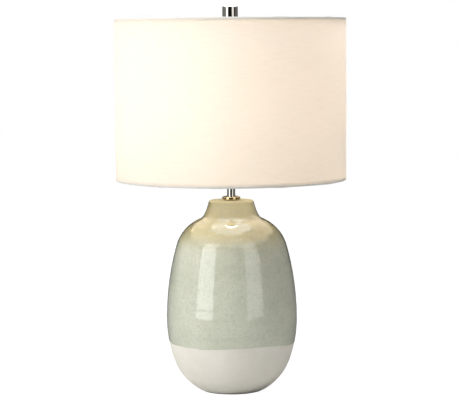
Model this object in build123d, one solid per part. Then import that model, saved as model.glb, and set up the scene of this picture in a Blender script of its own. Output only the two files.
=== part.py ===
"""Ceramic jar table lamp with a fabric drum shade, in millimetres.

The lamp stands on Z = 0 with its axis on Z. The front is -Y, and the harp stands in the XZ plane.
Everything above the foot is stacked on what carries it: jar, collar, stem, saddle, socket, harp,
swivel stud, spider, shade and finial.
"""
import math
import os

from build123d import *

# ---- jar: an outline of tangent arcs, each given by its radius and the lean from vertical it ends at ----
BELLY_RADIUS = 108.3
SIDE_RADIUS = 451.2
SIDE_LEAN = 15.6
SHOULDER_RADIUS = 68.0
SHOULDER_LEAN = 67.0
COVE_RADIUS = 15.9
COVE_LEAN = 26.0
NECK_RADIUS = 92.0
NECK_LEAN = 12.1
RIM_EDGE_RADIUS = 3.0
LOWER_SIDE_RADIUS = 208.3
LOWER_SIDE_LEAN = 19.2
BOWL_RADIUS = 90.8
BOWL_LEAN = 61.9
FOOT_EDGE_RADIUS = 2.0
JAR_WALL = 6.0
JAR_TOP_THICKNESS = 7.0
JAR_FLOOR_THICKNESS = 7.0
FOOT_RING_WIDTH = 12.0
FOOT_RECESS_DEPTH = 9.0

# ---- foot hardware ----
FELT_THICKNESS = 1.5
FELT_INSET = 2.0
BOTTOM_WASHER_RADIUS = 20.0
BOTTOM_WASHER_THICKNESS = 1.5
NUT_ACROSS_FLATS = 14.3
NUT_THICKNESS = 4.8
ROD_RADIUS = 4.85
ROD_WALL = 1.55
ROD_BELOW_NUT = 0.7
ROD_INTO_SOCKET = 6.4
ROD_HOLE_GAP = 0.5
THREAD_GAP = 0.05

# ---- cord bushing, square to the bowl at the back of the jar ----
CORD_HOLE_LEAN = 38.0
BUSHING_BORE_RADIUS = 3.5
BUSHING_BARREL_RADIUS = 5.2
BUSHING_FLANGE_RADIUS = 7.6
BUSHING_FLANGE_THICKNESS = 2.0
BUSHING_INNER_FLANGE_RADIUS = 6.8
BUSHING_HOLE_GAP = 0.1
BUSHING_SEAT_GAP = 0.4

# ---- neck fittings ----
GASKET_RADIUS = 12.5
GASKET_THICKNESS = 0.8
COLLAR_RADIUS = 14.8
COLLAR_HEIGHT = 5.4
COLLAR_EDGE = 1.2
SLEEVE_ROD_GAP = 0.75
SLEEVE_WALL = 1.2
SLEEVE_HEIGHT = 23.0

# ---- harp saddle, ferrules and bow ----
SADDLE_THICKNESS = 1.6
SADDLE_EYE_RADIUS = 9.5
SADDLE_ARM_WIDTH = 7.0
SADDLE_BEND_RADIUS = 8.0
SADDLE_ARM_STRAIGHT = 1.0
LEG_SPACING = 66.0
POST_RADIUS = 2.6
POST_HEIGHT = 11.0
FERRULE_WALL = 1.1
FERRULE_LIP = 1.2
FERRULE_TRAVEL = 15.0
WIRE_RADIUS = 1.8
LEG_LAND_HEIGHT = 1.5
LEG_SPARE = 1.4
LEG_BEND_RADIUS = 20.0
BOW_FLARE_RISE = 40.0
BOW_WIDTH = 112.0
BOW_TOP_STRAIGHT = 0.8
HARP_HEIGHT = 254.0
STRAP_LENGTH = 22.0
STRAP_WIDTH = 11.0
STRAP_THICKNESS = 2.4

# ---- swivel stud on top of the harp ----
STUD_RADIUS = 3.175
STUD_LENGTH = 13.0
STUD_FLANGE_RADIUS = 6.35
STUD_FLANGE_THICKNESS = 1.6
STUD_NECK_RADIUS = 2.6
STUD_HEAD_RADIUS = 4.2
STUD_HEAD_THICKNESS = 1.4
SWIVEL_FIT = 0.06
SWIVEL_END_GAP = 0.1

# ---- lamp socket ----
SOCKET_SHELL_WALL = 0.5
SOCKET_MOUTH_DEPTH = 2.5
SOCKET_BEAD = 0.7
SOCKET_LINER_WALL = 0.8
SOCKET_LINER_PROUD = 1.0
SOCKET_LINER_GAP = 0.1
SOCKET_CAP_WALL = 0.6
SOCKET_CAP_GAP = 0.2
SOCKET_CAP_HUB_WALL = 2.65
SOCKET_CAP_HUB_HEIGHT = 6.3
SOCKET_CAP_RIM_HEIGHT = 8.0
SOCKET_CAP_OVERLAP = 4.0
SET_SCREW_RADIUS = 1.5
SET_SCREW_PROUD = 2.0
SOCKET_BODY_HEIGHT = 17.0
SOCKET_BODY_GAP = 0.4
SWITCH_ABOVE_BODY_MIDDLE = 1.5
TERMINAL_FLAT = 3.2
TERMINAL_HEAD_RADIUS = 3.3
TERMINAL_HEAD_THICKNESS = 2.0
TERMINAL_HEAD_GAP = 1.0
TERMINAL_SLOT = 1.0
TERMINAL_SHANK_RADIUS = 1.6
TERMINAL_SHANK_LENGTH = 5.0
SCREW_SHELL_WALL = 0.4
SCREW_SHELL_LINER_GAP = 0.5
SCREW_SHELL_MOUTH = 2.1
CONTACT_RADIUS = 3.4
CONTACT_HEIGHT = 2.0
CONTACT_GAP = 2.0

# ---- rotary switch ----
SWITCH_ABOVE_SHELL_EDGE = 9.0
SHAFT_RADIUS = 2.0
SHAFT_FIT = 0.05
SHAFT_INNER_END = 8.0
SHAFT_PROUD = 19.6
SHELL_SLOT_GAP = 1.0
LINER_SLOT_GAP = 1.5
KNOB_WIDTH = 15.0
KNOB_THICKNESS = 6.0
KNOB_LENGTH = 10.0
KNOB_COLLAR_RADIUS = 4.2
KNOB_COLLAR_LENGTH = 4.0
KNOB_EDGE = 1.8

# ---- bulb ----
THREAD_PITCH = 3.63
THREAD_DEPTH = 0.6
THREAD_TURNS = 5
BULB_CAP_RADIUS = 13.1
BULB_CAP_SOCKET_GAP = 0.4
BULB_CAP_WALL = 0.5
BULB_TIP_RADIUS = 4.8
BULB_TIP_HEIGHT = 1.8
BULB_TIP_EDGE = 1.1
BULB_INSULATOR_HEIGHT = 4.2
BULB_INSULATOR_LEDGE = 1.0
BULB_RADIUS = 30.0
BULB_HOUSING_HEIGHT = 27.0
BULB_HOUSING_INSET = 4.5
BULB_HOUSING_HOLLOW = 1.8
BULB_SKIRT_HEIGHT = 9.2
BULB_GLOBE_WALL = 1.2

# ---- shade ----
SHADE_RADIUS = 190.5
SHADE_HEIGHT = 266.7
FABRIC_THICKNESS = 0.6
LINER_THICKNESS = 0.7
RING_WIRE_RADIUS = 1.4
HEM_TURN_IN = 7.0
HEM_GAP = 0.15
HUB_RADIUS = 9.5
HUB_THICKNESS = 2.0
HUB_HOLE_GAP = 0.4
SPIDER_ARMS = 3
SPIDER_LINER_GAP = 0.1
SPIDER_DROP = 13.5
SPIDER_BEND_RADIUS = 7.0

# ---- finial ----
FINIAL_RADIUS = 12.75
FINIAL_HEIGHT = 25.4
FINIAL_EDGE = 0.6
FINIAL_NECK_RADIUS = 6.6
FINIAL_NECK_HEIGHT = 8.6
FINIAL_LIP = 2.15
INSERT_WALL = 1.3
INSERT_LENGTH = 14.0
INSERT_GAP = 0.3

# ---- common clearances ----
SLIDE_GAP = 0.3

# A cut runs this far past the face that it opens.
CUT_OVERRUN = 1.0


def lean_step(radius, lean_from, lean_to):
    """How far inward, and how far along Z, an arc runs while its lean changes between two angles."""
    start = math.radians(lean_from)
    end = math.radians(lean_to)
    inward = radius * abs(math.cos(end) - math.cos(start))
    along = radius * abs(math.sin(end) - math.sin(start))
    return inward, along


# Heights of the jar's stations, from the arcs above.
LOWER_SIDE_STEP = lean_step(LOWER_SIDE_RADIUS, 0, LOWER_SIDE_LEAN)
BOWL_STEP = lean_step(BOWL_RADIUS, LOWER_SIDE_LEAN, BOWL_LEAN)
FOOT_EDGE_STEP = lean_step(FOOT_EDGE_RADIUS, BOWL_LEAN, 90)
BELLY_Z = FELT_THICKNESS + FOOT_EDGE_STEP[1] + BOWL_STEP[1] + LOWER_SIDE_STEP[1]
FOOT_RADIUS = BELLY_RADIUS - LOWER_SIDE_STEP[0] - BOWL_STEP[0] - FOOT_EDGE_STEP[0]

SIDE_STEP = lean_step(SIDE_RADIUS, 0, SIDE_LEAN)
SHOULDER_STEP = lean_step(SHOULDER_RADIUS, SIDE_LEAN, SHOULDER_LEAN)
COVE_STEP = lean_step(COVE_RADIUS, SHOULDER_LEAN, COVE_LEAN)
NECK_STEP = lean_step(NECK_RADIUS, COVE_LEAN, NECK_LEAN)
RIM_STEP = lean_step(RIM_EDGE_RADIUS, NECK_LEAN, 90)
COVE_TOP_Z = BELLY_Z + SIDE_STEP[1] + SHOULDER_STEP[1] + COVE_STEP[1]
JAR_TOP_Z = COVE_TOP_Z + NECK_STEP[1] + RIM_STEP[1]

# Heights of the stack above the jar.
SLEEVE_RADIUS = ROD_RADIUS + SLEEVE_ROD_GAP + SLEEVE_WALL
COLLAR_Z = JAR_TOP_Z + GASKET_THICKNESS
SLEEVE_Z = COLLAR_Z + COLLAR_HEIGHT
SADDLE_Z = SLEEVE_Z + SLEEVE_HEIGHT
SADDLE_MID_Z = SADDLE_Z + SADDLE_THICKNESS / 2
SADDLE_ARM_TOP_Z = SADDLE_MID_Z + SADDLE_BEND_RADIUS + SADDLE_ARM_STRAIGHT
POST_TOP_Z = SADDLE_ARM_TOP_Z + POST_HEIGHT
LEG_X = LEG_SPACING / 2
LEG_END_Z = SADDLE_ARM_TOP_Z + SLIDE_GAP
LEG_WIRE_Z = POST_TOP_Z + SLIDE_GAP
LEG_LAND_Z = LEG_WIRE_Z + LEG_LAND_HEIGHT
FERRULE_BORE_RADIUS = POST_RADIUS + SLIDE_GAP
FERRULE_LIP_Z = LEG_LAND_Z + SLIDE_GAP
FERRULE_TOP_Z = FERRULE_LIP_Z + FERRULE_LIP

SHADE_SEAT_Z = SADDLE_Z + HARP_HEIGHT
STRAP_TOP_Z = SHADE_SEAT_Z - STUD_FLANGE_THICKNESS - SWIVEL_END_GAP
STRAP_MID_Z = STRAP_TOP_Z - STRAP_THICKNESS / 2

# The socket: from the bulb's screw cap outward, and from the saddle upward.
SOCKET_Z = SADDLE_Z + SADDLE_THICKNESS
SCREW_SHELL_RADIUS = BULB_CAP_RADIUS + BULB_CAP_SOCKET_GAP
LINER_BORE_RADIUS = SCREW_SHELL_RADIUS + THREAD_DEPTH + SCREW_SHELL_WALL + SCREW_SHELL_LINER_GAP
LINER_RADIUS = LINER_BORE_RADIUS + SOCKET_LINER_WALL
SOCKET_SHELL_RADIUS = LINER_RADIUS + SOCKET_LINER_GAP + SOCKET_SHELL_WALL
SOCKET_BODY_RADIUS = LINER_BORE_RADIUS - SOCKET_BODY_GAP
SOCKET_CAP_HUB_RADIUS = ROD_RADIUS + SOCKET_CAP_HUB_WALL
CAP_BEND_RADIUS = SOCKET_SHELL_RADIUS + SOCKET_CAP_GAP + SOCKET_CAP_WALL - SOCKET_CAP_HUB_RADIUS
CAP_TOP_Z = SOCKET_Z + SOCKET_CAP_HUB_HEIGHT + CAP_BEND_RADIUS + SOCKET_CAP_RIM_HEIGHT
SHELL_Z = CAP_TOP_Z - SOCKET_CAP_OVERLAP
SWITCH_Z = SHELL_Z + SWITCH_ABOVE_SHELL_EDGE
SOCKET_BODY_Z = SWITCH_Z - SWITCH_ABOVE_BODY_MIDDLE - SOCKET_BODY_HEIGHT / 2
SCREW_SHELL_Z = SOCKET_BODY_Z + SOCKET_BODY_HEIGHT
THREAD_HEIGHT = (THREAD_TURNS + 0.5) * THREAD_PITCH
SCREW_SHELL_TOP_Z = SCREW_SHELL_Z + SCREW_SHELL_WALL + THREAD_HEIGHT + SCREW_SHELL_MOUTH
SHELL_TOP_Z = SCREW_SHELL_TOP_Z + SOCKET_MOUTH_DEPTH
SHAFT_REACH = SOCKET_SHELL_RADIUS + SHAFT_PROUD

# The bulb: its globe is a ball on a short round skirt.
BULB_Z = SCREW_SHELL_Z + CONTACT_HEIGHT + SLIDE_GAP
BULB_CAP_Z = BULB_Z + BULB_TIP_HEIGHT + BULB_INSULATOR_HEIGHT
BULB_CAP_TOP_Z = BULB_CAP_Z + THREAD_HEIGHT
BULB_HOUSING_TOP_Z = BULB_CAP_TOP_Z + BULB_HOUSING_HEIGHT
BULB_SKIRT_RADIUS = BULB_RADIUS - BULB_HOUSING_INSET
BALL_FOOT_Z = BULB_HOUSING_TOP_Z + BULB_SKIRT_HEIGHT
BALL_CENTRE_Z = BALL_FOOT_Z + math.sqrt(BULB_RADIUS ** 2 - BULB_SKIRT_RADIUS ** 2)
BULB_TOP_Z = BALL_CENTRE_Z + BULB_RADIUS

# The shade: its fabric is folded round each ring, and the rings lie against the liner.
LINER_OUTER_RADIUS = SHADE_RADIUS - FABRIC_THICKNESS
RING_RADIUS = LINER_OUTER_RADIUS - LINER_THICKNESS - RING_WIRE_RADIUS
SPIDER_WIRE_RADIUS = RING_WIRE_RADIUS - SPIDER_LINER_GAP
HEM_INNER_RADIUS = RING_RADIUS - RING_WIRE_RADIUS - HEM_GAP - FABRIC_THICKNESS
HEM_FOLD_RADIUS = (SHADE_RADIUS - HEM_INNER_RADIUS) / 2
HUB_MID_Z = SHADE_SEAT_Z + HUB_THICKNESS / 2
TOP_RING_Z = HUB_MID_Z + SPIDER_DROP
SHADE_TOP_Z = TOP_RING_Z + HEM_FOLD_RADIUS
SHADE_BOTTOM_Z = SHADE_TOP_Z - SHADE_HEIGHT
BOTTOM_RING_Z = SHADE_BOTTOM_Z + HEM_FOLD_RADIUS

FINIAL_Z = SHADE_SEAT_Z + HUB_THICKNESS
INSERT_BORE_RADIUS = STUD_RADIUS + SLIDE_GAP
INSERT_RADIUS = INSERT_BORE_RADIUS + INSERT_WALL
FINIAL_NECK_COVE = FINIAL_RADIUS - FINIAL_LIP - FINIAL_NECK_RADIUS


def turned(*curves):
    """A solid of revolution about Z from curves that close an outline of (radius, height) points."""
    return revolve(Plane.XZ * make_face(curves), Axis.Z)


def tube(inner_radius, outer_radius, bottom, top):
    """A plain ring or tube about Z; an inner radius of 0 makes a disc."""
    corners = [(inner_radius, bottom), (outer_radius, bottom), (outer_radius, top), (inner_radius, top)]
    return turned(Polyline(*corners, close=True))


def tangent_arcs(start, tangent, turns):
    """Arcs that follow on smoothly; each turn is (radius, degrees to the left)."""
    arcs = []
    for radius, degrees in turns:
        arc = JernArc(start=start, tangent=tangent, radius=radius, arc_size=degrees)
        arcs.append(arc)
        start = arc @ 1
        tangent = arc % 1
    return arcs


def wire_along(path, radius):
    """Round wire swept along a path."""
    return sweep(Plane(origin=path @ 0, z_dir=path % 0) * Circle(radius), path=path)


def across_both_sides(right_half):
    """The same shape on +X and on -X."""
    return right_half, mirror(right_half, about=Plane.YZ)


# ---------------------------------------------------------------- jar and foot

def jar_solid(inset, upper_turns, lower_turns):
    """A solid inside the jar's outline, set in by a wall, closed flat at both ends."""
    belly = (BELLY_RADIUS - inset, BELLY_Z)
    upper = tangent_arcs(belly, (0, 1), upper_turns)
    lower = tangent_arcs(belly, (0, -1), lower_turns)
    top = upper[-1] @ 1
    bottom = lower[-1] @ 1
    axis_line = Polyline((top.X, top.Y), (0, top.Y), (0, bottom.Y), (bottom.X, bottom.Y))
    return turned(*upper, *lower, axis_line)


def cord_hole_plane():
    """The plane on the bowl's outside at the cord hole, with Z square out of the wall."""
    inward, down = lean_step(BOWL_RADIUS, LOWER_SIDE_LEAN, CORD_HOLE_LEAN)
    radius = BELLY_RADIUS - LOWER_SIDE_STEP[0] - inward
    height = BELLY_Z - LOWER_SIDE_STEP[1] - down
    lean = math.radians(CORD_HOLE_LEAN)
    return Plane(origin=(0, radius, height), x_dir=(1, 0, 0), z_dir=(0, math.cos(lean), -math.sin(lean)))


def make_jar():
    outside = jar_solid(
        0,
        [
            (SIDE_RADIUS, SIDE_LEAN),
            (SHOULDER_RADIUS, SHOULDER_LEAN - SIDE_LEAN),
            (COVE_RADIUS, COVE_LEAN - SHOULDER_LEAN),
            (NECK_RADIUS, NECK_LEAN - COVE_LEAN),
            (RIM_EDGE_RADIUS, 90 - NECK_LEAN),
        ],
        [
            (LOWER_SIDE_RADIUS, -LOWER_SIDE_LEAN),
            (BOWL_RADIUS, LOWER_SIDE_LEAN - BOWL_LEAN),
            (FOOT_EDGE_RADIUS, BOWL_LEAN - 90),
        ],
    )
    # The cavity's arcs have the same centres, and stop at the underside of the top and at the floor.
    ceiling_z = JAR_TOP_Z - JAR_TOP_THICKNESS
    cove_end_z = COVE_TOP_Z - JAR_WALL * math.sin(math.radians(COVE_LEAN))
    ceiling_sine = math.sin(math.radians(COVE_LEAN)) - (ceiling_z - cove_end_z) / (NECK_RADIUS + JAR_WALL)
    ceiling_lean = math.degrees(math.asin(ceiling_sine))
    floor_z = FELT_THICKNESS + FOOT_RECESS_DEPTH + JAR_FLOOR_THICKNESS
    bowl_start_z = BELLY_Z - (LOWER_SIDE_RADIUS - JAR_WALL) * math.sin(math.radians(LOWER_SIDE_LEAN))
    floor_sine = math.sin(math.radians(LOWER_SIDE_LEAN)) + (bowl_start_z - floor_z) / (BOWL_RADIUS - JAR_WALL)
    floor_lean = math.degrees(math.asin(floor_sine))
    cavity = jar_solid(
        JAR_WALL,
        [
            (SIDE_RADIUS - JAR_WALL, SIDE_LEAN),
            (SHOULDER_RADIUS - JAR_WALL, SHOULDER_LEAN - SIDE_LEAN),
            (COVE_RADIUS + JAR_WALL, COVE_LEAN - SHOULDER_LEAN),
            (NECK_RADIUS + JAR_WALL, ceiling_lean - COVE_LEAN),
        ],
        [
            (LOWER_SIDE_RADIUS - JAR_WALL, -LOWER_SIDE_LEAN),
            (BOWL_RADIUS - JAR_WALL, LOWER_SIDE_LEAN - floor_lean),
        ],
    )
    recess = tube(0, FOOT_RADIUS - FOOT_RING_WIDTH, 0, FELT_THICKNESS + FOOT_RECESS_DEPTH)
    rod_hole = tube(0, ROD_RADIUS + ROD_HOLE_GAP, 0, JAR_TOP_Z + CUT_OVERRUN)
    cord_hole = cord_hole_plane() * tube(0, BUSHING_BARREL_RADIUS + BUSHING_HOLE_GAP, -3 * JAR_WALL, JAR_WALL)
    return outside - cavity - recess - rod_hole - cord_hole


def make_felt_pad():
    return tube(0, FOOT_RADIUS - FELT_INSET, 0, FELT_THICKNESS)


def make_bottom_washer():
    top = FELT_THICKNESS + FOOT_RECESS_DEPTH
    return tube(ROD_RADIUS + ROD_HOLE_GAP, BOTTOM_WASHER_RADIUS, top - BOTTOM_WASHER_THICKNESS, top)


def bottom_nut_top():
    return FELT_THICKNESS + FOOT_RECESS_DEPTH - BOTTOM_WASHER_THICKNESS


def make_bottom_nut():
    hexagon = RegularPolygon(NUT_ACROSS_FLATS / 2, 6, major_radius=False) - Circle(ROD_RADIUS + THREAD_GAP)
    nut = extrude(Pos(0, 0, bottom_nut_top() - NUT_THICKNESS) * hexagon, NUT_THICKNESS)
    # Both ends are coned, so that only the corners are cut back.
    corner = NUT_ACROSS_FLATS / math.sqrt(3)
    bevel = corner - NUT_ACROSS_FLATS / 2
    low = bottom_nut_top() - NUT_THICKNESS
    high = bottom_nut_top()
    envelope = turned(
        Polyline(
            (0, low), (corner - bevel, low), (corner, low + bevel / 2),
            (corner, high - bevel / 2), (corner - bevel, high), (0, high), close=True,
        )
    )
    return nut & envelope


def make_threaded_rod():
    bottom = bottom_nut_top() - NUT_THICKNESS - ROD_BELOW_NUT
    return tube(ROD_RADIUS - ROD_WALL, ROD_RADIUS, bottom, SOCKET_Z + ROD_INTO_SOCKET)


def make_cord_bushing():
    """Grommet with a flange on each side of the wall and a groove for the wall between them."""
    inner_face = -JAR_WALL - BUSHING_SEAT_GAP
    barrel = tube(0, BUSHING_BARREL_RADIUS, inner_face, 0)
    outer_flange = tube(0, BUSHING_FLANGE_RADIUS, 0, BUSHING_FLANGE_THICKNESS)
    outer_flange = fillet(outer_flange.edges().group_by(Axis.Z)[-1], BUSHING_FLANGE_THICKNESS / 2)
    inner_end = inner_face - BUSHING_FLANGE_THICKNESS
    inner_flange = tube(0, BUSHING_INNER_FLANGE_RADIUS, inner_end, inner_face)
    bore = tube(0, BUSHING_BORE_RADIUS, inner_end, BUSHING_FLANGE_THICKNESS)
    return cord_hole_plane() * (outer_flange + barrel + inner_flange - bore)


# ---------------------------------------------------------------- neck fittings

def make_neck_gasket():
    return tube(ROD_RADIUS + ROD_HOLE_GAP, GASKET_RADIUS, JAR_TOP_Z, COLLAR_Z)


def make_neck_collar():
    collar = tube(ROD_RADIUS + ROD_HOLE_GAP, COLLAR_RADIUS, COLLAR_Z, SLEEVE_Z)
    outer_edges = collar.edges().filter_by(GeomType.CIRCLE).sort_by(SortBy.RADIUS)[-2:]
    return fillet(outer_edges, COLLAR_EDGE)


def make_stem_sleeve():
    return tube(SLEEVE_RADIUS - SLEEVE_WALL, SLEEVE_RADIUS, SLEEVE_Z, SADDLE_Z)


# ---------------------------------------------------------------- harp saddle and bow

def half_post(radius, bottom, top, outward):
    """Half of a round post on a harp leg's line, on the side away from the lamp or on the near side."""
    flat = SLIDE_GAP / 2
    side = Pos(radius + flat, 0) * Rectangle(2 * radius, 2 * radius)
    if not outward:
        side = mirror(side, about=Plane.YZ)
    return extrude(Pos(LEG_X, 0, bottom) * (Circle(radius) & side), top - bottom)


def make_harp_saddle():
    """A pressed strip with an eye for the rod and two raised arms, each ending in a half-round finger."""
    bend = FilletPolyline((0, SADDLE_MID_Z), (LEG_X, SADDLE_MID_Z), (LEG_X, SADDLE_ARM_TOP_Z),
                          radius=SADDLE_BEND_RADIUS)
    strip = extrude(Plane.XZ * trace(bend, SADDLE_THICKNESS), SADDLE_EYE_RADIUS, both=True)
    arm = Pos(LEG_X / 2 + POST_RADIUS, 0) * Rectangle(LEG_X + 2 * POST_RADIUS, SADDLE_ARM_WIDTH)
    plan = extrude(Pos(0, 0, SADDLE_Z) * (arm + Circle(SADDLE_EYE_RADIUS)), POST_TOP_Z - SADDLE_Z)
    finger = half_post(POST_RADIUS, SADDLE_ARM_TOP_Z - SADDLE_THICKNESS, POST_TOP_Z, outward=True)
    right, left = across_both_sides((strip & plan) + finger)
    return right + left - tube(0, ROD_RADIUS + ROD_HOLE_GAP, SADDLE_Z - CUT_OVERRUN, SOCKET_Z + CUT_OVERRUN)


def make_harp_bow():
    """Wire bow: half-round leg ends, straight legs, a flare, and a round top with a pierced strap."""
    side_x = BOW_WIDTH / 2
    strap_end_x = STRAP_LENGTH / 2 - WIRE_RADIUS
    # The straight leg is long enough for the ferrule's travel below the bend.
    flare_turn = math.atan2(side_x - LEG_X, BOW_FLARE_RISE)
    flare_z = FERRULE_TOP_Z + FERRULE_TRAVEL + LEG_SPARE + LEG_BEND_RADIUS * math.tan(flare_turn / 2)
    top_radius = side_x - strap_end_x - BOW_TOP_STRAIGHT
    path = FilletPolyline(
        (LEG_X, LEG_WIRE_Z),
        (LEG_X, flare_z),
        (side_x, flare_z + BOW_FLARE_RISE),
        (side_x, STRAP_MID_Z),
        (strap_end_x, STRAP_MID_Z),
        radius=[LEG_BEND_RADIUS, LEG_BEND_RADIUS, top_radius],
    )
    path = Plane.XZ * path
    leg_end = half_post(POST_RADIUS, LEG_END_Z, LEG_LAND_Z, outward=False)
    right, left = across_both_sides(wire_along(path, WIRE_RADIUS) + leg_end)
    strap_z = STRAP_TOP_Z - STRAP_THICKNESS
    strap = extrude(Pos(0, 0, strap_z) * SlotOverall(STRAP_LENGTH, STRAP_WIDTH), STRAP_THICKNESS)
    stud_hole = tube(0, STUD_NECK_RADIUS + SWIVEL_FIT, strap_z - CUT_OVERRUN, STRAP_TOP_Z + CUT_OVERRUN)
    return right + left + strap - stud_hole


def make_ferrule():
    """Cup that drops over a finger and a leg end and locks them; its lip runs on the leg's wire."""
    outer = FERRULE_BORE_RADIUS + FERRULE_WALL
    cup = tube(0, outer, LEG_END_Z, FERRULE_TOP_Z)
    cup = fillet(cup.edges().group_by(Axis.Z)[-1], FERRULE_WALL)
    cup -= tube(0, FERRULE_BORE_RADIUS, LEG_END_Z, FERRULE_LIP_Z)
    cup -= tube(0, WIRE_RADIUS + SLIDE_GAP, FERRULE_LIP_Z, FERRULE_TOP_Z)
    return Pos(LEG_X, 0, 0) * cup


def make_harp_stud():
    """Riveted swivel: head under the strap, neck through it, flange on top and a screw for the finial."""
    head_top = STRAP_TOP_Z - STRAP_THICKNESS - SWIVEL_END_GAP
    flange_z = SHADE_SEAT_Z - STUD_FLANGE_THICKNESS
    head = tube(0, STUD_HEAD_RADIUS, head_top - STUD_HEAD_THICKNESS, head_top)
    head = fillet(head.edges().group_by(Axis.Z)[0], STUD_HEAD_THICKNESS / 2)
    neck = tube(0, STUD_NECK_RADIUS, head_top, flange_z)
    flange = tube(0, STUD_FLANGE_RADIUS, flange_z, SHADE_SEAT_Z)
    stud = tube(0, STUD_RADIUS, SHADE_SEAT_Z, SHADE_SEAT_Z + STUD_LENGTH)
    stud = chamfer(stud.edges().group_by(Axis.Z)[-1], STUD_RADIUS / 6)
    return head + neck + flange + stud


# ---------------------------------------------------------------- socket

def make_socket_cap():
    """Threaded hub that opens into a round-shouldered cup."""
    bore = ROD_RADIUS + THREAD_GAP
    hub_radius = SOCKET_CAP_HUB_RADIUS
    shoulder_z = SOCKET_Z + SOCKET_CAP_HUB_HEIGHT
    hub_top_z = shoulder_z + SOCKET_CAP_WALL
    outer = tangent_arcs((hub_radius, shoulder_z), (1, 0), [(CAP_BEND_RADIUS, 90)])[0]
    inner = tangent_arcs((hub_radius, hub_top_z), (1, 0), [(CAP_BEND_RADIUS - SOCKET_CAP_WALL, 90)])[0]
    outer_rim = outer @ 1
    inner_rim = inner @ 1
    hub = Polyline((hub_radius, shoulder_z), (hub_radius, SOCKET_Z), (bore, SOCKET_Z), (bore, hub_top_z),
                   (hub_radius, hub_top_z))
    rim = Polyline((outer_rim.X, outer_rim.Y), (outer_rim.X, CAP_TOP_Z), (inner_rim.X, CAP_TOP_Z),
                   (inner_rim.X, inner_rim.Y))
    return turned(hub, outer, rim, inner) - set_screw_hole()


def set_screw_plane():
    """On the hub's back, with Z pointing out along +Y."""
    return Plane(origin=(0, 0, SOCKET_Z + SOCKET_CAP_HUB_HEIGHT / 2), x_dir=(1, 0, 0), z_dir=(0, 1, 0))


def set_screw_hole():
    return set_screw_plane() * tube(0, SET_SCREW_RADIUS + THREAD_GAP, 0, 2 * SOCKET_CAP_HUB_RADIUS)


def make_set_screw():
    start = ROD_RADIUS + 2 * THREAD_GAP
    end = SOCKET_CAP_HUB_RADIUS + SET_SCREW_PROUD
    screw = tube(0, SET_SCREW_RADIUS, start, end)
    slot = Pos(0, 0, end) * Box(3 * SET_SCREW_RADIUS, SET_SCREW_RADIUS / 2, SET_SCREW_RADIUS)
    return set_screw_plane() * (screw - slot)


def switch_plane():
    """On the lamp's axis at the switch, with Z pointing out to the front."""
    return Plane(origin=(0, 0, SWITCH_Z), x_dir=(1, 0, 0), z_dir=(0, -1, 0))


def switch_slot(half_width):
    """Slot from a sleeve's lower edge up past the switch shaft, on the front."""
    reach = 2 * SOCKET_SHELL_RADIUS
    bottom = SHELL_Z - CUT_OVERRUN
    straight = Pos(0, -reach / 2, (bottom + SWITCH_Z) / 2) * Box(2 * half_width, reach, SWITCH_Z - bottom)
    return straight + switch_plane() * tube(0, half_width, 0, reach)


def make_socket_shell():
    """Thin metal sleeve with a pressed bead above the cap and a slot for the switch shaft."""
    outer = SOCKET_SHELL_RADIUS
    inner = outer - SOCKET_SHELL_WALL
    sleeve = tube(inner, outer, SHELL_Z, SHELL_TOP_Z)
    bead_z = SHELL_TOP_Z - (SHELL_TOP_Z - SHELL_Z) / 4
    bead = Pos(0, 0, bead_z) * Torus(outer, SOCKET_BEAD) - tube(0, inner, SHELL_Z, SHELL_TOP_Z)
    return sleeve + bead - switch_slot(SHAFT_RADIUS + SHELL_SLOT_GAP)


def make_socket_liner():
    """Insulating sleeve inside the shell; its top stands a little proud of the metal."""
    sleeve = tube(LINER_BORE_RADIUS, LINER_RADIUS, SHELL_Z, SHELL_TOP_Z + SOCKET_LINER_PROUD)
    return sleeve - switch_slot(SHAFT_RADIUS + LINER_SLOT_GAP)


def terminal_plane(side):
    """On a terminal flat of the socket body, with Z pointing out along X."""
    face_x = SOCKET_BODY_RADIUS - TERMINAL_FLAT
    return Plane(origin=(side * face_x, 0, SWITCH_Z), x_dir=(0, 1, 0), z_dir=(side, 0, 0))


def make_socket_body():
    """Moulded insulator with a terminal flat on each side and a bearing for the switch shaft."""
    body = tube(0, SOCKET_BODY_RADIUS, SOCKET_BODY_Z, SCREW_SHELL_Z)
    half_flat = TERMINAL_HEAD_RADIUS + TERMINAL_HEAD_GAP
    for side in (-1, 1):
        plane = terminal_plane(side)
        recess = Box(4 * SOCKET_BODY_RADIUS, 2 * half_flat, 2 * TERMINAL_FLAT)
        body -= plane * Pos(0, 0, TERMINAL_FLAT) * recess
        body -= plane * tube(0, TERMINAL_SHANK_RADIUS + THREAD_GAP, -TERMINAL_SHANK_LENGTH, 0)
    bearing = tube(0, SHAFT_RADIUS + SHAFT_FIT, SHAFT_INNER_END - SLIDE_GAP, 2 * SOCKET_BODY_RADIUS)
    return body - switch_plane() * bearing


def make_terminal_screws():
    screws = []
    for side in (-1, 1):
        shank = tube(0, TERMINAL_SHANK_RADIUS, -TERMINAL_SHANK_LENGTH + THREAD_GAP, 0)
        head = tube(0, TERMINAL_HEAD_RADIUS, 0, TERMINAL_HEAD_THICKNESS)
        head = chamfer(head.edges().group_by(Axis.Z)[-1], TERMINAL_HEAD_THICKNESS / 4)
        slot = Box(3 * TERMINAL_HEAD_RADIUS, TERMINAL_SLOT, TERMINAL_HEAD_THICKNESS)
        slot = Pos(0, 0, TERMINAL_HEAD_THICKNESS) * slot
        screws.append(terminal_plane(side) * (shank + head - slot))
    return Compound(screws)


def thread_points(radius, bottom, turns):
    """Zigzag of a rolled thread's outline: roots at the radius, crests one thread depth outside it."""
    points = []
    for step in range(2 * turns + 1):
        crest = step % 2
        points.append((radius + crest * THREAD_DEPTH, bottom + step * THREAD_PITCH / 2))
    return points


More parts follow.
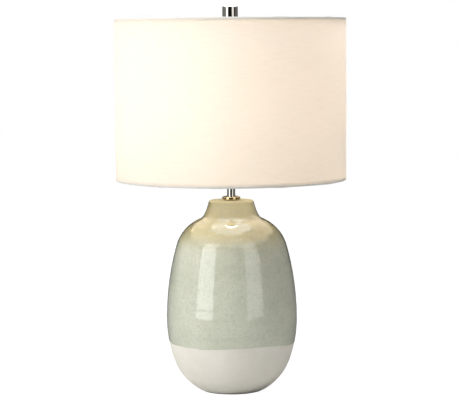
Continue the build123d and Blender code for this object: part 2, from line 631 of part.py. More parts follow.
def make_screw_shell():
    """Rolled brass shell on the socket body, wide enough for the bulb's screw cap."""
    floor = SCREW_SHELL_Z + SCREW_SHELL_WALL
    start = floor + THREAD_PITCH / 2
    inside = thread_points(SCREW_SHELL_RADIUS, start, THREAD_TURNS)
    outside = []
    for radius, height in inside:
        outside.append((radius + SCREW_SHELL_WALL, height))
    outside.reverse()
    outer = SCREW_SHELL_RADIUS + SCREW_SHELL_WALL
    mouth = [(SCREW_SHELL_RADIUS, SCREW_SHELL_TOP_Z), (outer, SCREW_SHELL_TOP_Z)]
    base_hole = CONTACT_RADIUS + CONTACT_GAP
    base = [(outer, SCREW_SHELL_Z), (base_hole, SCREW_SHELL_Z),
            (base_hole, floor), (SCREW_SHELL_RADIUS, floor)]
    return turned(Polyline(*inside, *mouth, *outside, *base, close=True))


def make_centre_contact():
    contact = tube(0, CONTACT_RADIUS, SCREW_SHELL_Z, SCREW_SHELL_Z + CONTACT_HEIGHT)
    return fillet(contact.edges().group_by(Axis.Z)[-1], CONTACT_HEIGHT / 2)


# ---------------------------------------------------------------- switch

def make_switch_shaft():
    return switch_plane() * tube(0, SHAFT_RADIUS, SHAFT_INNER_END, SHAFT_REACH)


def make_switch_knob():
    """Turn key: a round collar on the shaft and a flat oval grip."""
    tip = SHAFT_REACH + KNOB_LENGTH / 3
    root = tip - KNOB_LENGTH
    grip = extrude(Pos(0, 0, root) * SlotOverall(KNOB_WIDTH, KNOB_THICKNESS), KNOB_LENGTH)
    grip = fillet(grip.edges().group_by(Axis.Z)[-1], KNOB_EDGE)
    collar_end = root - KNOB_COLLAR_LENGTH
    collar = tube(0, KNOB_COLLAR_RADIUS, collar_end, root)
    bore = tube(0, SHAFT_RADIUS + THREAD_GAP, collar_end - CUT_OVERRUN, SHAFT_REACH + THREAD_GAP)
    return switch_plane() * (grip + collar - bore)


# ---------------------------------------------------------------- bulb

def make_bulb_tip():
    tip = tube(0, BULB_TIP_RADIUS, BULB_Z, BULB_Z + BULB_TIP_HEIGHT)
    return fillet(tip.edges().group_by(Axis.Z)[0], BULB_TIP_EDGE)


def make_bulb_insulator():
    bottom = BULB_Z + BULB_TIP_HEIGHT
    ledge = BULB_TIP_RADIUS + BULB_INSULATOR_LEDGE
    cap_inner = BULB_CAP_RADIUS - THREAD_DEPTH - BULB_CAP_WALL
    cone = Polyline((0, bottom), (ledge, bottom), (cap_inner, BULB_CAP_Z), (0, BULB_CAP_Z), close=True)
    return turned(cone)


def make_bulb_screw_cap():
    """Screw cap with a rolled thread; inside it is filled by the bulb's housing."""
    root = BULB_CAP_RADIUS - THREAD_DEPTH
    outline = thread_points(root, BULB_CAP_Z, THREAD_TURNS)
    inner = root - BULB_CAP_WALL
    points = [(inner, BULB_CAP_Z), *outline, (root, BULB_CAP_TOP_Z), (inner, BULB_CAP_TOP_Z)]
    return turned(Polyline(*points, close=True))


def make_bulb_housing():
    """Moulded housing: a plug inside the screw cap, and above it a flared body, hollow in outline."""
    plug_radius = BULB_CAP_RADIUS - THREAD_DEPTH - BULB_CAP_WALL - THREAD_GAP
    plug_z = BULB_CAP_Z + THREAD_GAP
    flare = SagittaArc((BULB_CAP_RADIUS, BULB_CAP_TOP_Z), (BULB_SKIRT_RADIUS, BULB_HOUSING_TOP_Z),
                       BULB_HOUSING_HOLLOW)
    plug = Polyline(
        (BULB_SKIRT_RADIUS, BULB_HOUSING_TOP_Z), (0, BULB_HOUSING_TOP_Z), (0, plug_z), (plug_radius, plug_z),
        (plug_radius, BULB_CAP_TOP_Z), (BULB_CAP_RADIUS, BULB_CAP_TOP_Z),
    )
    return turned(flare, plug)


def make_bulb_globe():
    """Frosted cover: a ball of even wall that stands on its skirt."""
    foot_angle = -math.degrees(math.acos(BULB_SKIRT_RADIUS / BULB_RADIUS))
    outer = CenterArc((0, BALL_CENTRE_Z), BULB_RADIUS, foot_angle, 90 - foot_angle)
    inner = CenterArc((0, BALL_CENTRE_Z), BULB_RADIUS - BULB_GLOBE_WALL, foot_angle, 90 - foot_angle)
    inner_foot = inner @ 0
    skirt = Polyline((BULB_SKIRT_RADIUS, BALL_FOOT_Z), (BULB_SKIRT_RADIUS, BULB_HOUSING_TOP_Z),
                     (inner_foot.X, BULB_HOUSING_TOP_Z), (inner_foot.X, inner_foot.Y))
    crown = Line(inner @ 1, outer @ 1)
    return turned(outer, skirt, inner, crown)


# ---------------------------------------------------------------- shade

def rolled_hem(ring_z, up):
    """Half-section of the fabric's edge: folded over a ring, up or down, and turned in behind it."""
    middle = (SHADE_RADIUS + HEM_INNER_RADIUS) / 2
    hem_outer_radius = HEM_INNER_RADIUS + FABRIC_THICKNESS
    turn_in_z = ring_z - up * HEM_TURN_IN
    fold_out = CenterArc((middle, ring_z), HEM_FOLD_RADIUS, 0, up * 180)
    fold_in = CenterArc((middle, ring_z), HEM_FOLD_RADIUS - FABRIC_THICKNESS, 0, up * 180)
    hem = Polyline((HEM_INNER_RADIUS, ring_z), (HEM_INNER_RADIUS, turn_in_z), (hem_outer_radius, turn_in_z),
                   (hem_outer_radius, ring_z))
    return fold_out, hem, fold_in


def make_shade_fabric():
    """Drum of fabric whose top and bottom edges roll over the rings and turn in."""
    outside = Line((SHADE_RADIUS, BOTTOM_RING_Z), (SHADE_RADIUS, TOP_RING_Z))
    inside = Line((LINER_OUTER_RADIUS, BOTTOM_RING_Z), (LINER_OUTER_RADIUS, TOP_RING_Z))
    return turned(outside, *rolled_hem(TOP_RING_Z, 1), inside, *rolled_hem(BOTTOM_RING_Z, -1))


def make_shade_liner():
    """Stiff backing that the fabric is laminated to, from ring to ring."""
    return tube(LINER_OUTER_RADIUS - LINER_THICKNESS, LINER_OUTER_RADIUS, BOTTOM_RING_Z, TOP_RING_Z)


def make_ring(height):
    return Pos(0, 0, height) * Torus(RING_RADIUS, RING_WIRE_RADIUS)


def make_spider_hub():
    return tube(STUD_RADIUS + HUB_HOLE_GAP, HUB_RADIUS, SHADE_SEAT_Z, SHADE_SEAT_Z + HUB_THICKNESS)


def make_spider_arms():
    """Wires from the hub out under the hem and up to the top ring, cut to meet both."""
    path = Plane.XZ * FilletPolyline((HUB_RADIUS - HUB_THICKNESS, HUB_MID_Z), (RING_RADIUS, HUB_MID_Z),
                                     (RING_RADIUS, TOP_RING_Z), radius=SPIDER_BEND_RADIUS)
    arm = wire_along(path, SPIDER_WIRE_RADIUS)
    hub_space = tube(0, HUB_RADIUS, SHADE_SEAT_Z - HUB_THICKNESS, SHADE_SEAT_Z + 2 * HUB_THICKNESS)
    arm = arm - make_ring(TOP_RING_Z) - hub_space
    # The first arm points to the back.
    return Compound([Rot(0, 0, 90 + index * 360 / SPIDER_ARMS) * arm for index in range(SPIDER_ARMS)])


# ---------------------------------------------------------------- finial

def make_finial_body():
    """Plain cylinder on a waisted neck, bored for its threaded insert."""
    body_z = FINIAL_Z + FINIAL_NECK_HEIGHT
    top = body_z + FINIAL_HEIGHT
    cove = JernArc(start=(FINIAL_NECK_RADIUS, body_z - FINIAL_NECK_COVE), tangent=(0, 1),
                   radius=FINIAL_NECK_COVE, arc_size=-90)
    cove_end = cove @ 1
    outline = Polyline(
        (cove_end.X, body_z), (FINIAL_RADIUS - FINIAL_EDGE, body_z), (FINIAL_RADIUS, body_z + FINIAL_EDGE),
        (FINIAL_RADIUS, top - FINIAL_EDGE), (FINIAL_RADIUS - FINIAL_EDGE, top), (0, top), (0, FINIAL_Z),
        (FINIAL_NECK_RADIUS, FINIAL_Z), (FINIAL_NECK_RADIUS, body_z - FINIAL_NECK_COVE),
    )
    bore = tube(0, INSERT_RADIUS + THREAD_GAP, FINIAL_Z, FINIAL_Z + INSERT_GAP + INSERT_LENGTH + THREAD_GAP)
    return turned(cove, outline) - bore


def make_finial_insert():
    bottom = FINIAL_Z + INSERT_GAP
    return tube(INSERT_BORE_RADIUS, INSERT_RADIUS, bottom, bottom + INSERT_LENGTH)


def make_all():
    """Every sub-part under its name."""
    right_ferrule, left_ferrule = across_both_sides(make_ferrule())
    return {
        "jar": make_jar(),
        "felt_pad": make_felt_pad(),
        "bottom_washer": make_bottom_washer(),
        "bottom_nut": make_bottom_nut(),
        "threaded_rod": make_threaded_rod(),
        "cord_bushing": make_cord_bushing(),
        "neck_gasket": make_neck_gasket(),
        "neck_collar": make_neck_collar(),
        "stem_sleeve": make_stem_sleeve(),
        "harp_saddle": make_harp_saddle(),
        "harp_bow": make_harp_bow(),
        "ferrule_right": right_ferrule,
        "ferrule_left": left_ferrule,
        "harp_stud": make_harp_stud(),
        "socket_cap": make_socket_cap(),
        "socket_set_screw": make_set_screw(),
        "socket_shell": make_socket_shell(),
        "socket_liner": make_socket_liner(),
        "socket_body": make_socket_body(),
        "terminal_screws": make_terminal_screws(),
        "screw_shell": make_screw_shell(),
        "centre_contact": make_centre_contact(),
        "switch_shaft": make_switch_shaft(),
        "switch_knob": make_switch_knob(),
        "bulb_tip": make_bulb_tip(),
        "bulb_insulator": make_bulb_insulator(),
        "bulb_screw_cap": make_bulb_screw_cap(),
        "bulb_housing": make_bulb_housing(),
        "bulb_globe": make_bulb_globe(),
        "shade_fabric": make_shade_fabric(),
        "shade_liner": make_shade_liner(),
        "top_ring": make_ring(TOP_RING_Z),
        "bottom_ring": make_ring(BOTTOM_RING_Z),
        "spider_hub": make_spider_hub(),
        "spider_arms": make_spider_arms(),
        "finial_body": make_finial_body(),
        "finial_insert": make_finial_insert(),
    }


os.makedirs("parts", exist_ok=True)
for name, shape in make_all().items():
    export_step(shape, os.path.join("parts", name + ".step"))
print(f"jar top {JAR_TOP_Z:.2f}, belly {BELLY_Z:.2f}, foot radius {FOOT_RADIUS:.2f}")
print(f"shade {SHADE_BOTTOM_Z:.2f} to {SHADE_TOP_Z:.2f}, shade seat {SHADE_SEAT_Z:.2f}")
print(f"socket {SOCKET_Z:.2f} to {SHELL_TOP_Z:.2f}, bulb {BULB_Z:.2f} to {BULB_TOP_Z:.2f}")
print(f"finial top {FINIAL_Z + FINIAL_NECK_HEIGHT + FINIAL_HEIGHT:.2f}")
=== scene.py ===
"""Table lamp: a glazed jar on a bare clay foot, under a lit drum shade of slubbed cloth.

Everything is in metres in the lamp's own frame: it stands on Z = 0 with its axis on Z, and its front is -Y.
Angles round the lamp are measured from the front, positive to the right as the camera sees it.
"""
import math

import bmesh
import bpy
import numpy as np
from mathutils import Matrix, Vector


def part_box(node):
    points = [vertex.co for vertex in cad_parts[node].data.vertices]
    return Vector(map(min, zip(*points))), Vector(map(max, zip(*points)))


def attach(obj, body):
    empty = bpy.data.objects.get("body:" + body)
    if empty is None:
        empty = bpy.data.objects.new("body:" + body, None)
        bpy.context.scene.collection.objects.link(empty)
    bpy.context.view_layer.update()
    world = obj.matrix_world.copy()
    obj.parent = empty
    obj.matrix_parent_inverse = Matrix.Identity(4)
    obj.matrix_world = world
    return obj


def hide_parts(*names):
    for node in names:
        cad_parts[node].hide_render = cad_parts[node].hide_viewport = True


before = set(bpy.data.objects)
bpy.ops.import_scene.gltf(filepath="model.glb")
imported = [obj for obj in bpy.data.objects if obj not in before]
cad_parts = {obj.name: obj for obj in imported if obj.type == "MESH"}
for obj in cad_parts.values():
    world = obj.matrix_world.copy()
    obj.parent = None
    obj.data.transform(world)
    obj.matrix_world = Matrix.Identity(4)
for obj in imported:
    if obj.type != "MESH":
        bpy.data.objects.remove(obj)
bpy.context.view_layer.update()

MM = 0.001


# ------------------------------------------------------------------ camera

PHOTO_WIDTH = 458
FOCAL_PIXELS = 1862.4
CAMERA_PLACE = (-0.0037, -3.0775, 0.5817)
CAMERA_DOWN_DEGREES = 4.945
CAMERA_ROLL_DEGREES = -0.35
SENSOR_MM = 36.0


def make_camera():
    """The camera stands in front, looks down a few degrees and leans very slightly to its right."""
    camera = bpy.data.objects.new("camera", bpy.data.cameras.new("camera"))
    camera.data.sensor_width = SENSOR_MM
    camera.data.lens = SENSOR_MM * FOCAL_PIXELS / PHOTO_WIDTH
    camera.location = CAMERA_PLACE
    camera.rotation_mode = "ZYX"
    camera.rotation_euler = (math.radians(90 - CAMERA_DOWN_DEGREES), 0, math.radians(CAMERA_ROLL_DEGREES))
    bpy.context.scene.collection.objects.link(camera)
    bpy.context.scene.camera = camera


# ------------------------------------------------------------------ shader words

def paint(red, green, blue):
    """A colour as read off a screen, 0 to 255, turned into the linear light that shaders use."""
    shown = np.array([red, green, blue]) / 255
    linear = np.where(shown <= 0.04045, shown / 12.92, ((shown + 0.055) / 1.055) ** 2.4)
    return tuple(float(c) for c in linear)


class Signal:
    """A shader output. Arithmetic on it adds the Math nodes that work it out."""

    def __init__(self, finish, socket):
        self.finish = finish
        self.socket = socket

    def maths(self, operation, first, second):
        return self.finish.node("ShaderNodeMath", {"operation": operation}, {0: first, 1: second})

    def __add__(self, other):
        return self.maths("ADD", self, other)

    def __sub__(self, other):
        return self.maths("SUBTRACT", self, other)

    def __rsub__(self, other):
        return self.maths("SUBTRACT", other, self)

    def __mul__(self, other):
        return self.maths("MULTIPLY", self, other)

    def __pow__(self, other):
        return self.maths("POWER", self, other)

    __radd__ = __add__
    __rmul__ = __mul__


class Finish:
    """One material, or the world, built by its own node method and a few words for what recurs."""

    def __init__(self, name, owner=None):
        self.owner = owner or bpy.data.materials.new(name)
        self.owner.use_nodes = True
        self.tree = self.owner.node_tree
        self.tree.nodes.clear()

    def node(self, kind, settings=None, sockets=None, result=0):
        """Adds a node, with its settings first and then its sockets' values or links."""
        made = self.tree.nodes.new(kind)
        for key, value in (settings or {}).items():
            setattr(made, key, value)
        for key, value in (sockets or {}).items():
            self.feed(made.inputs[key], value)
        return Signal(self, made.outputs[result])

    def feed(self, socket, value):
        """Links a signal to a socket, or sets the socket's own number or colour."""
        if isinstance(value, Signal):
            self.tree.links.new(value.socket, socket)
        elif socket.type == "RGBA":
            socket.default_value = (*value, 1.0)
        else:
            socket.default_value = value

    def also(self, signal, result):
        """Another output of the node that a signal comes from."""
        return Signal(self, signal.socket.node.outputs[result])

    def place(self):
        """Where a point is, in the lamp's own frame."""
        return self.node("ShaderNodeTexCoord", result="Object")

    def stretched(self, place, factors):
        """A place with each of its three numbers multiplied by its own factor."""
        return self.node("ShaderNodeVectorMath", {"operation": "MULTIPLY"}, {0: place, 1: factors})

    def noise(self, place, scale, detail=3.0, roughness=0.5, distortion=0.0):
        """Cloudy noise from 0 to 1, about scale clouds to a metre."""
        sockets = {"Vector": place, "Scale": scale, "Detail": detail, "Roughness": roughness,
                   "Distortion": distortion}
        return self.node("ShaderNodeTexNoise", {}, sockets)

    def cells(self, place, scale, feature, result="Distance"):
        """Scattered cells, about scale of them to a metre."""
        sockets = {"Vector": place, "Scale": scale}
        return self.node("ShaderNodeTexVoronoi", {"feature": feature}, sockets, result)

    def wave(self, value):
        return self.node("ShaderNodeMath", {"operation": "SINE"}, {0: value})

    def largest(self, first, second):
        return self.node("ShaderNodeMath", {"operation": "MAXIMUM"}, {0: first, 1: second})

    def ramp(self, value, low, high):
        """0 below low, 1 above high, and a smooth step between them."""
        sockets = {"Value": value, "From Min": low, "From Max": high}
        return self.node("ShaderNodeMapRange", {"interpolation_type": "SMOOTHSTEP"}, sockets)

    def between(self, factor, first, second):
        """A colour between two, by a factor."""
        return self.node("ShaderNodeMix", {"data_type": "RGBA"}, {0: factor, 6: first, 7: second}, 2)

    def bump(self, height, depth):
        """Surface relief: height times depth, in metres."""
        return self.node("ShaderNodeBump", {}, {"Height": height, "Distance": depth, "Strength": 1.0})

    def principled(self, sockets):
        return self.node("ShaderNodeBsdfPrincipled", {}, sockets)

    def mixed(self, factor, first, second):
        """A shader between two, by a factor."""
        return self.node("ShaderNodeMixShader", {}, {0: factor, 1: first, 2: second})

    def shown(self, shader):
        """Puts a shader on the surface and hands back the material."""
        kind = "World" if isinstance(self.owner, bpy.types.World) else "Material"
        output = self.tree.nodes.new("ShaderNodeOutput" + kind)
        self.tree.links.new(shader.socket, output.inputs["Surface"])
        return self.owner


# ------------------------------------------------------------------ sizes taken from the CAD nodes

JAR_LOW, JAR_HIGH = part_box("jar")
FELT_LOW, FELT_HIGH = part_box("felt_pad")
SHADE_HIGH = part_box("shade_fabric")[1]
TOP_RING_LOW, TOP_RING_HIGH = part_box("top_ring")
LOW_RING_LOW, LOW_RING_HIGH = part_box("bottom_ring")
BELLY_RADIUS = JAR_HIGH[0]
SHADE_RADIUS = SHADE_HIGH[0]
TOP_RING_Z = (TOP_RING_HIGH[2] + TOP_RING_LOW[2]) / 2
LOW_RING_Z = (LOW_RING_HIGH[2] + LOW_RING_LOW[2]) / 2

# The shade's cloth and backing. The cloth laps over itself at the back, and its edges turn in over the rings.
CLOTH_THICKNESS = 0.6 * MM
BACKING_THICKNESS = 0.7 * MM
LAYER_GAP = 0.05 * MM
HEM_TURN_IN = 7.0 * MM
HEM_FOLD_RADIUS = SHADE_HIGH[2] - TOP_RING_Z
LAP_WIDTH = 12.0 * MM
LAP_SLOPE = 3.0 * MM
LAP_LIFT = CLOTH_THICKNESS + 0.06 * MM
LAP_ANGLE = LAP_WIDTH / SHADE_RADIUS
CLOTH_LENGTH = 2 * (HEM_TURN_IN + math.pi * HEM_FOLD_RADIUS) + TOP_RING_Z - LOW_RING_Z


# ------------------------------------------------------------------ finishes

# The glaze is painted honey-coloured from the shoulder and fully at the neck: painted shade from the
# lampshade and painted warm bulb light. The jar's flat top is matt.
PAINTED_WARM_SHADE_LOW = 234 * MM
PAINTED_WARM_SHADE_HIGH = 272 * MM
LIP_LOW = JAR_HIGH[2] - 3.2 * MM
LIP_HIGH = JAR_HIGH[2] - 0.8 * MM
CLAY_EDGE = 0.35 * MM


def glaze_colour(f, place, warm_shade_paint, broad, speckle, fine, crackle):
    """Mottled grey-green, painted honey at the neck as shade and warm bulb light, with pale and dark specks,
    crackle and iron spots.
    """
    bands = f.noise(f.stretched(place, (6, 6, 130)), 1.0, 3.0, 0.6)
    blotch = f.noise(place, 105, 2.0, 0.5)
    glaze = f.between(f.ramp(broad, 0.3, 0.7), paint(199, 203, 184), paint(210, 213, 196))
    glaze = f.between(f.ramp(bands, 0.35, 0.75) * 0.5, glaze, paint(212, 214, 195))
    # Painted shade and warm bulb light: the glaze turns honey towards the neck, and its pale specks fade
    # there.
    glaze = f.between(warm_shade_paint * 0.9, glaze, paint(184, 175, 130))
    glaze = f.between(f.ramp(speckle, 0.5, 0.68) * (0.33 - warm_shade_paint * 0.16), glaze, paint(226, 228, 213))
    glaze = f.between(f.ramp(1 - speckle, 0.5, 0.68) * 0.33, glaze, paint(178, 183, 159))
    glaze = f.between(f.ramp(blotch, 0.5, 0.7) * 0.25, glaze, paint(181, 187, 163))
    glaze = f.between(crackle * f.ramp(broad, 0.35, 0.65) * 0.16, glaze, paint(150, 152, 128))
    spot = 1 - f.ramp(f.cells(place, 75, "F1"), 0.03, 0.07)
    return f.between(spot * f.ramp(fine, 0.45, 0.6) * 0.35, glaze, paint(140, 128, 100))


def clay_colour(f, place, grain, grog, fine):
    """Pale bare clay with faint stains, sandy grain and darker grog."""
    stain = f.noise(place, 18, 3.0, 0.6)
    clay = f.between(f.ramp(stain, 0.3, 0.75), paint(231, 228, 218), paint(223, 219, 208))
    clay = f.between(f.ramp(grain, 0.5, 0.75) * 0.5, clay, paint(216, 211, 198))
    return f.between(grog * f.ramp(fine, 0.5, 0.6) * 0.5, clay, paint(160, 148, 128))


def glazed_stoneware():
    """Shiny glaze over bare matt clay, which meet at the glaze line.

    The attribute above_glaze_line holds how far, in metres, a point lies above that line.
    """
    f = Finish("glazed_stoneware")
    place = f.place()
    height = f.node("ShaderNodeSeparateXYZ", {}, {0: place}, "Z")
    wander = f.noise(place, 420, 3.0)
    above = f.node("ShaderNodeAttribute", {"attribute_name": "above_glaze_line"}, result="Fac")
    glazed = f.ramp(above + (wander - 0.5) * 0.0016, -CLAY_EDGE, CLAY_EDGE)
    lip = f.ramp(height, LIP_LOW, LIP_HIGH)

    broad = f.noise(place, 24, 3.0, 0.55)
    speckle = f.noise(place, 300, 4.0, 0.65)
    fine = f.noise(place, 1100, 2.0, 0.6)
    # Painted shade and warm bulb light: a height mask that is full at the neck.
    warm_shade_paint = f.ramp(height + (broad - 0.5) * 0.02, PAINTED_WARM_SHADE_LOW, PAINTED_WARM_SHADE_HIGH)
    drift = f.node("ShaderNodeTexNoise", {}, {"Vector": place, "Scale": 45.0}, "Color")
    bent = f.node("ShaderNodeMix", {"data_type": "VECTOR"}, {0: 0.012, 4: place, 5: drift}, 1)
    crackle = 1 - f.ramp(f.cells(bent, 105, "DISTANCE_TO_EDGE"), 0.0, 0.05)
    grain = f.noise(place, 1500, 3.0, 0.7)
    grog = 1 - f.ramp(f.cells(place, 260, "F1"), 0.05, 0.11)
    glaze = glaze_colour(f, place, warm_shade_paint, broad, speckle, fine, crackle)
    clay = clay_colour(f, place, grain, grog, fine)

    peel = f.noise(place, 210, 2.0, 0.5)
    relief = glazed * (peel * 0.5 - crackle * 0.12) + (1 - glazed) * (grain * 0.9 - grog * 0.4)
    surface = f.principled({
        "Base Color": f.between(glazed, clay, glaze),
        "Roughness": 0.82 - glazed * (0.72 - lip * 0.5) + (speckle - 0.5) * 0.06,
        "Coat Weight": glazed * (1 - lip),
        "Coat Roughness": 0.045,
        "Coat IOR": 1.6,
        "Normal": f.bump(relief, 0.12 * MM),
    })
    return f.shown(surface)


def polished_metal(name, tint, roughness, wear=0.03):
    """Mirror metal with faint polishing lines round the lamp's axis and a soft haze."""
    f = Finish(name)
    place = f.place()
    lines = f.noise(f.stretched(place, (60, 60, 4000)), 1.0, 2.0, 0.6)
    haze = f.noise(place, 90, 3.0, 0.6)
    dust = f.noise(place, 900, 2.0, 0.5)
    pale = tuple(min(1.0, c * 1.06) for c in tint)
    surface = f.principled({
        "Base Color": f.between(f.ramp(haze, 0.3, 0.7), tint, pale),
        "Metallic": 1.0,
        "Roughness": roughness + f.ramp(haze, 0.45, 0.8) * wear + f.ramp(dust, 0.6, 0.8) * wear,
        "Normal": f.bump(lines, 0.002 * MM),
    })
    return f.shown(surface)


def plated_metal(name, tint, roughness, spangle=0.25):
    """Duller plated metal: patchy bright grains, small scratches and a satin sheen."""
    f = Finish(name)
    place = f.place()
    grains = f.cells(place, 420, "F1", "Color")
    grain = f.node("ShaderNodeSeparateColor", {}, {0: grains})
    patch = f.noise(place, 150, 3.0, 0.6)
    scratch = f.noise(f.stretched(place, (900, 900, 60)), 1.0, 2.0, 0.7)
    dark = tuple(c * 0.78 for c in tint)
    surface = f.principled({
        "Base Color": f.between(grain * spangle + f.ramp(patch, 0.35, 0.7) * 0.3, tint, dark),
        "Metallic": 1.0,
        "Roughness": roughness + (patch - 0.5) * 0.15 + f.ramp(scratch, 0.6, 0.75) * 0.12,
        "Normal": f.bump(patch + scratch * 0.4, 0.01 * MM),
    })
    return f.shown(surface)


def moulded_plastic(name, tint, roughness, texture_scale=700, depth=0.01 * MM):
    """Moulded plastic: an even colour with slight flow marks and a fine mould texture."""
    f = Finish(name)
    place = f.place()
    flow = f.noise(place, 35, 2.0, 0.5, 0.8)
    texture = f.noise(place, texture_scale, 3.0, 0.6)
    darker = tuple(c * 0.9 for c in tint)
    surface = f.principled({
        "Base Color": f.between(f.ramp(flow, 0.35, 0.7), tint, darker),
        "Roughness": roughness + (texture - 0.5) * 0.12,
        "Normal": f.bump(texture, depth),
    })
    return f.shown(surface)


def insulating_card():
    """Brown pressed card: fibres along and across, and darker flecks."""
    f = Finish("insulating_card")
    place = f.place()
    fibres = f.noise(f.stretched(place, (1800, 1800, 160)), 1.0, 3.0, 0.7)
    flecks = f.noise(place, 1400, 2.0, 0.7)
    card = f.between(f.ramp(fibres, 0.35, 0.7), paint(150, 108, 70), paint(176, 134, 92))
    card = f.between(f.ramp(flecks, 0.6, 0.75) * 0.6, card, paint(104, 70, 44))
    surface = f.principled({"Base Color": card, "Roughness": 0.86, "Normal": f.bump(fibres, 0.03 * MM)})
    return f.shown(surface)


def felt_cloth():
    """Pressed wool felt: matted fibres in two tones with a soft nap."""
    f = Finish("felt")
    place = f.place()
    mat = f.noise(place, 900, 4.0, 0.7, 1.5)
    tuft = f.noise(place, 260, 2.0, 0.6)
    wool = f.between(f.ramp(mat, 0.35, 0.7), paint(46, 45, 43), paint(74, 72, 69))
    surface = f.principled({
        "Base Color": wool,
        "Roughness": 0.95,
        "Sheen Weight": 0.4,
        "Normal": f.bump(mat + tuft * 0.5, 0.12 * MM),
    })
    return f.shown(surface)


def clear_grommet():
    """Clear soft plastic with a faint bloom on its skin."""
    f = Finish("clear_grommet")
    bloom = f.noise(f.place(), 500, 3.0, 0.6)
    surface = f.principled({
        "Base Color": paint(238, 238, 230),
        "Roughness": 0.12 + bloom * 0.2,
        "Transmission Weight": 0.75,
        "IOR": 1.5,
        "Normal": f.bump(bloom, 0.01 * MM),
    })
    return f.shown(surface)


BULB_LIGHT = (1.0, 0.78, 0.58)
BULB_DIMMER_PATCH = tuple(c * 0.94 for c in BULB_LIGHT)
BULB_STRENGTH = 35.4


def frosted_cover():
    """The bulb's glowing frosted cover: slightly brighter in soft patches."""
    f = Finish("frosted_cover")
    frost = f.noise(f.place(), 60, 2.0, 0.5)
    surface = f.principled({
        "Base Color": paint(244, 240, 232),
        "Roughness": 0.45,
        "Emission Color": f.between(f.ramp(frost, 0.3, 0.7), BULB_LIGHT, BULB_DIMMER_PATCH),
        "Emission Strength": BULB_STRENGTH,
    })
    return f.shown(surface)


THREAD_PITCH = 0.55 * MM
THREAD_DRIFT = 0.4 * MM
CLOTH_GLOW = (0.96, 0.915, 0.862)
CLOTH_SHARE = 0.5
BACKING_GLOW = (0.97, 0.94, 0.9)
BACKING_SHARE = 0.6


def slubbed_linen():
    """Off-white plain weave with long thin slubs, mostly across, that lets the bulb's light through.

    The piece's UV map holds metres: U round the drum and V up the cloth. The share of light that comes
    through is less where a thread is thick, and least where the cloth is folded over a ring, which is also
    painted grey as shade.
    """
    f = Finish("shade_linen")
    cloth = f.node("ShaderNodeUVMap", {"uv_map": "cloth"})
    across = f.node("ShaderNodeSeparateXYZ", {}, {0: cloth}, "X")
    up = f.also(across, "Y")
    drift = f.noise(f.stretched(cloth, (60, 60, 1)), 1.0, 2.0) * THREAD_DRIFT
    turns = 2 * math.pi / THREAD_PITCH
    weave = f.wave((up + drift) * turns) * f.wave((across + drift) * turns)
    weft_slub = f.noise(f.stretched(cloth, (36, 640, 1)), 1.0, 3.0, 0.6)
    warp_slub = f.noise(f.stretched(cloth, (640, 30, 1)), 1.0, 3.0, 0.6)
    thick = f.ramp(weft_slub, 0.42, 0.72) + f.ramp(warp_slub, 0.5, 0.78) * 0.5
    linen = f.between(thick * 0.6, paint(241, 237, 229), paint(231, 224, 210))
    # Painted highlight: the threads are painted paler in the weave's pattern.
    linen = f.between(f.ramp(weave, -1.0, 1.0) * 0.25, linen, paint(249, 246, 238))

    half = CLOTH_LENGTH / 2
    wall_half = half - HEM_TURN_IN - math.pi * HEM_FOLD_RADIUS
    off_middle = f.node("ShaderNodeMath", {"operation": "ABSOLUTE"}, {0: up - half})
    ring_fold_painted_shade = f.ramp(off_middle, wall_half - 0.6 * MM, wall_half + 0.4 * MM)
    hem = f.ramp(off_middle, half - HEM_TURN_IN - 1 * MM, half - HEM_TURN_IN)
    toward_ring = (off_middle * (1 / wall_half)) ** 3
    # Painted shade: the cloth over each ring is painted grey.
    front = f.principled({
        "Base Color": f.between(ring_fold_painted_shade * (1 - hem), linen, paint(222, 221, 216)),
        "Roughness": 0.88,
        "Sheen Weight": 0.15,
        "Normal": f.bump(weave * 0.35 + thick * 0.8, 0.09 * MM),
    })
    through = f.node("ShaderNodeBsdfTranslucent", {}, {"Color": CLOTH_GLOW})
    share = (CLOTH_SHARE + toward_ring * 0.1 - thick * 0.1) * (1 - ring_fold_painted_shade * 0.96) + hem * 0.8
    return f.shown(f.mixed(share, front, through))


def shade_backing():
    """Smooth white backing sheet, a little shiny, that spreads the bulb's light."""
    f = Finish("shade_backing")
    sheet = f.node("ShaderNodeUVMap", {"uv_map": "cloth"})
    cloud = f.noise(f.stretched(sheet, (30, 30, 1)), 1.0, 3.0, 0.6)
    front = f.principled({
        "Base Color": f.between(f.ramp(cloud, 0.3, 0.7), paint(240, 238, 232), paint(233, 231, 225)),
        "Roughness": 0.42,
        "Normal": f.bump(cloud, 0.02 * MM),
    })
    through = f.node("ShaderNodeBsdfTranslucent", {}, {"Color": BACKING_GLOW})
    return f.shown(f.mixed(BACKING_SHARE, front, through))


def bonded_face(name):
    """A face that is glued to the next layer and never seen, so light simply passes it."""
    f = Finish(name)
    return f.shown(f.node("ShaderNodeBsdfTransparent"))


# ------------------------------------------------------------------ meshes from grids

WELD_DISTANCE = 0.001 * MM


def grid_faces(rows, columns, rows_close, columns_close):
    """Corner numbers of the quads of a grid, whose last row or column may join its first.

    A quad's normal is the direction of its rows crossed with the direction of its columns.
    """
    row = np.arange(rows if rows_close else rows - 1)[:, None]
    column = np.arange(columns if columns_close else columns - 1)[None, :]
    next_row = (row + 1) % rows
    next_column = (column + 1) % columns
    corners = [row * columns + column, next_row * columns + column,
               next_row * columns + next_column, row * columns + next_column]
    return np.stack([np.broadcast_to(c, np.broadcast_shapes(row.shape, column.shape)) for c in corners], -1)


def unrolled(across, along):
    """A grid's UV map: the distances across and along at the four corners of each quad."""
    row = np.arange(len(along) - 1)[:, None]
    column = np.arange(len(across) - 1)[None, :]
    corners = [(row, column), (row + 1, column), (row + 1, column + 1), (row, column + 1)]
    return np.stack([np.stack([across[c] + 0 * r, along[r] + 0 * c], -1) for r, c in corners], -2)


def weld_points(mesh):
    """Makes one point of those that meet, as at a pole."""
    grid = bmesh.new()
    grid.from_mesh(mesh)
    bmesh.ops.remove_doubles(grid, verts=grid.verts, dist=WELD_DISTANCE)
    grid.to_mesh(mesh)
    grid.free()


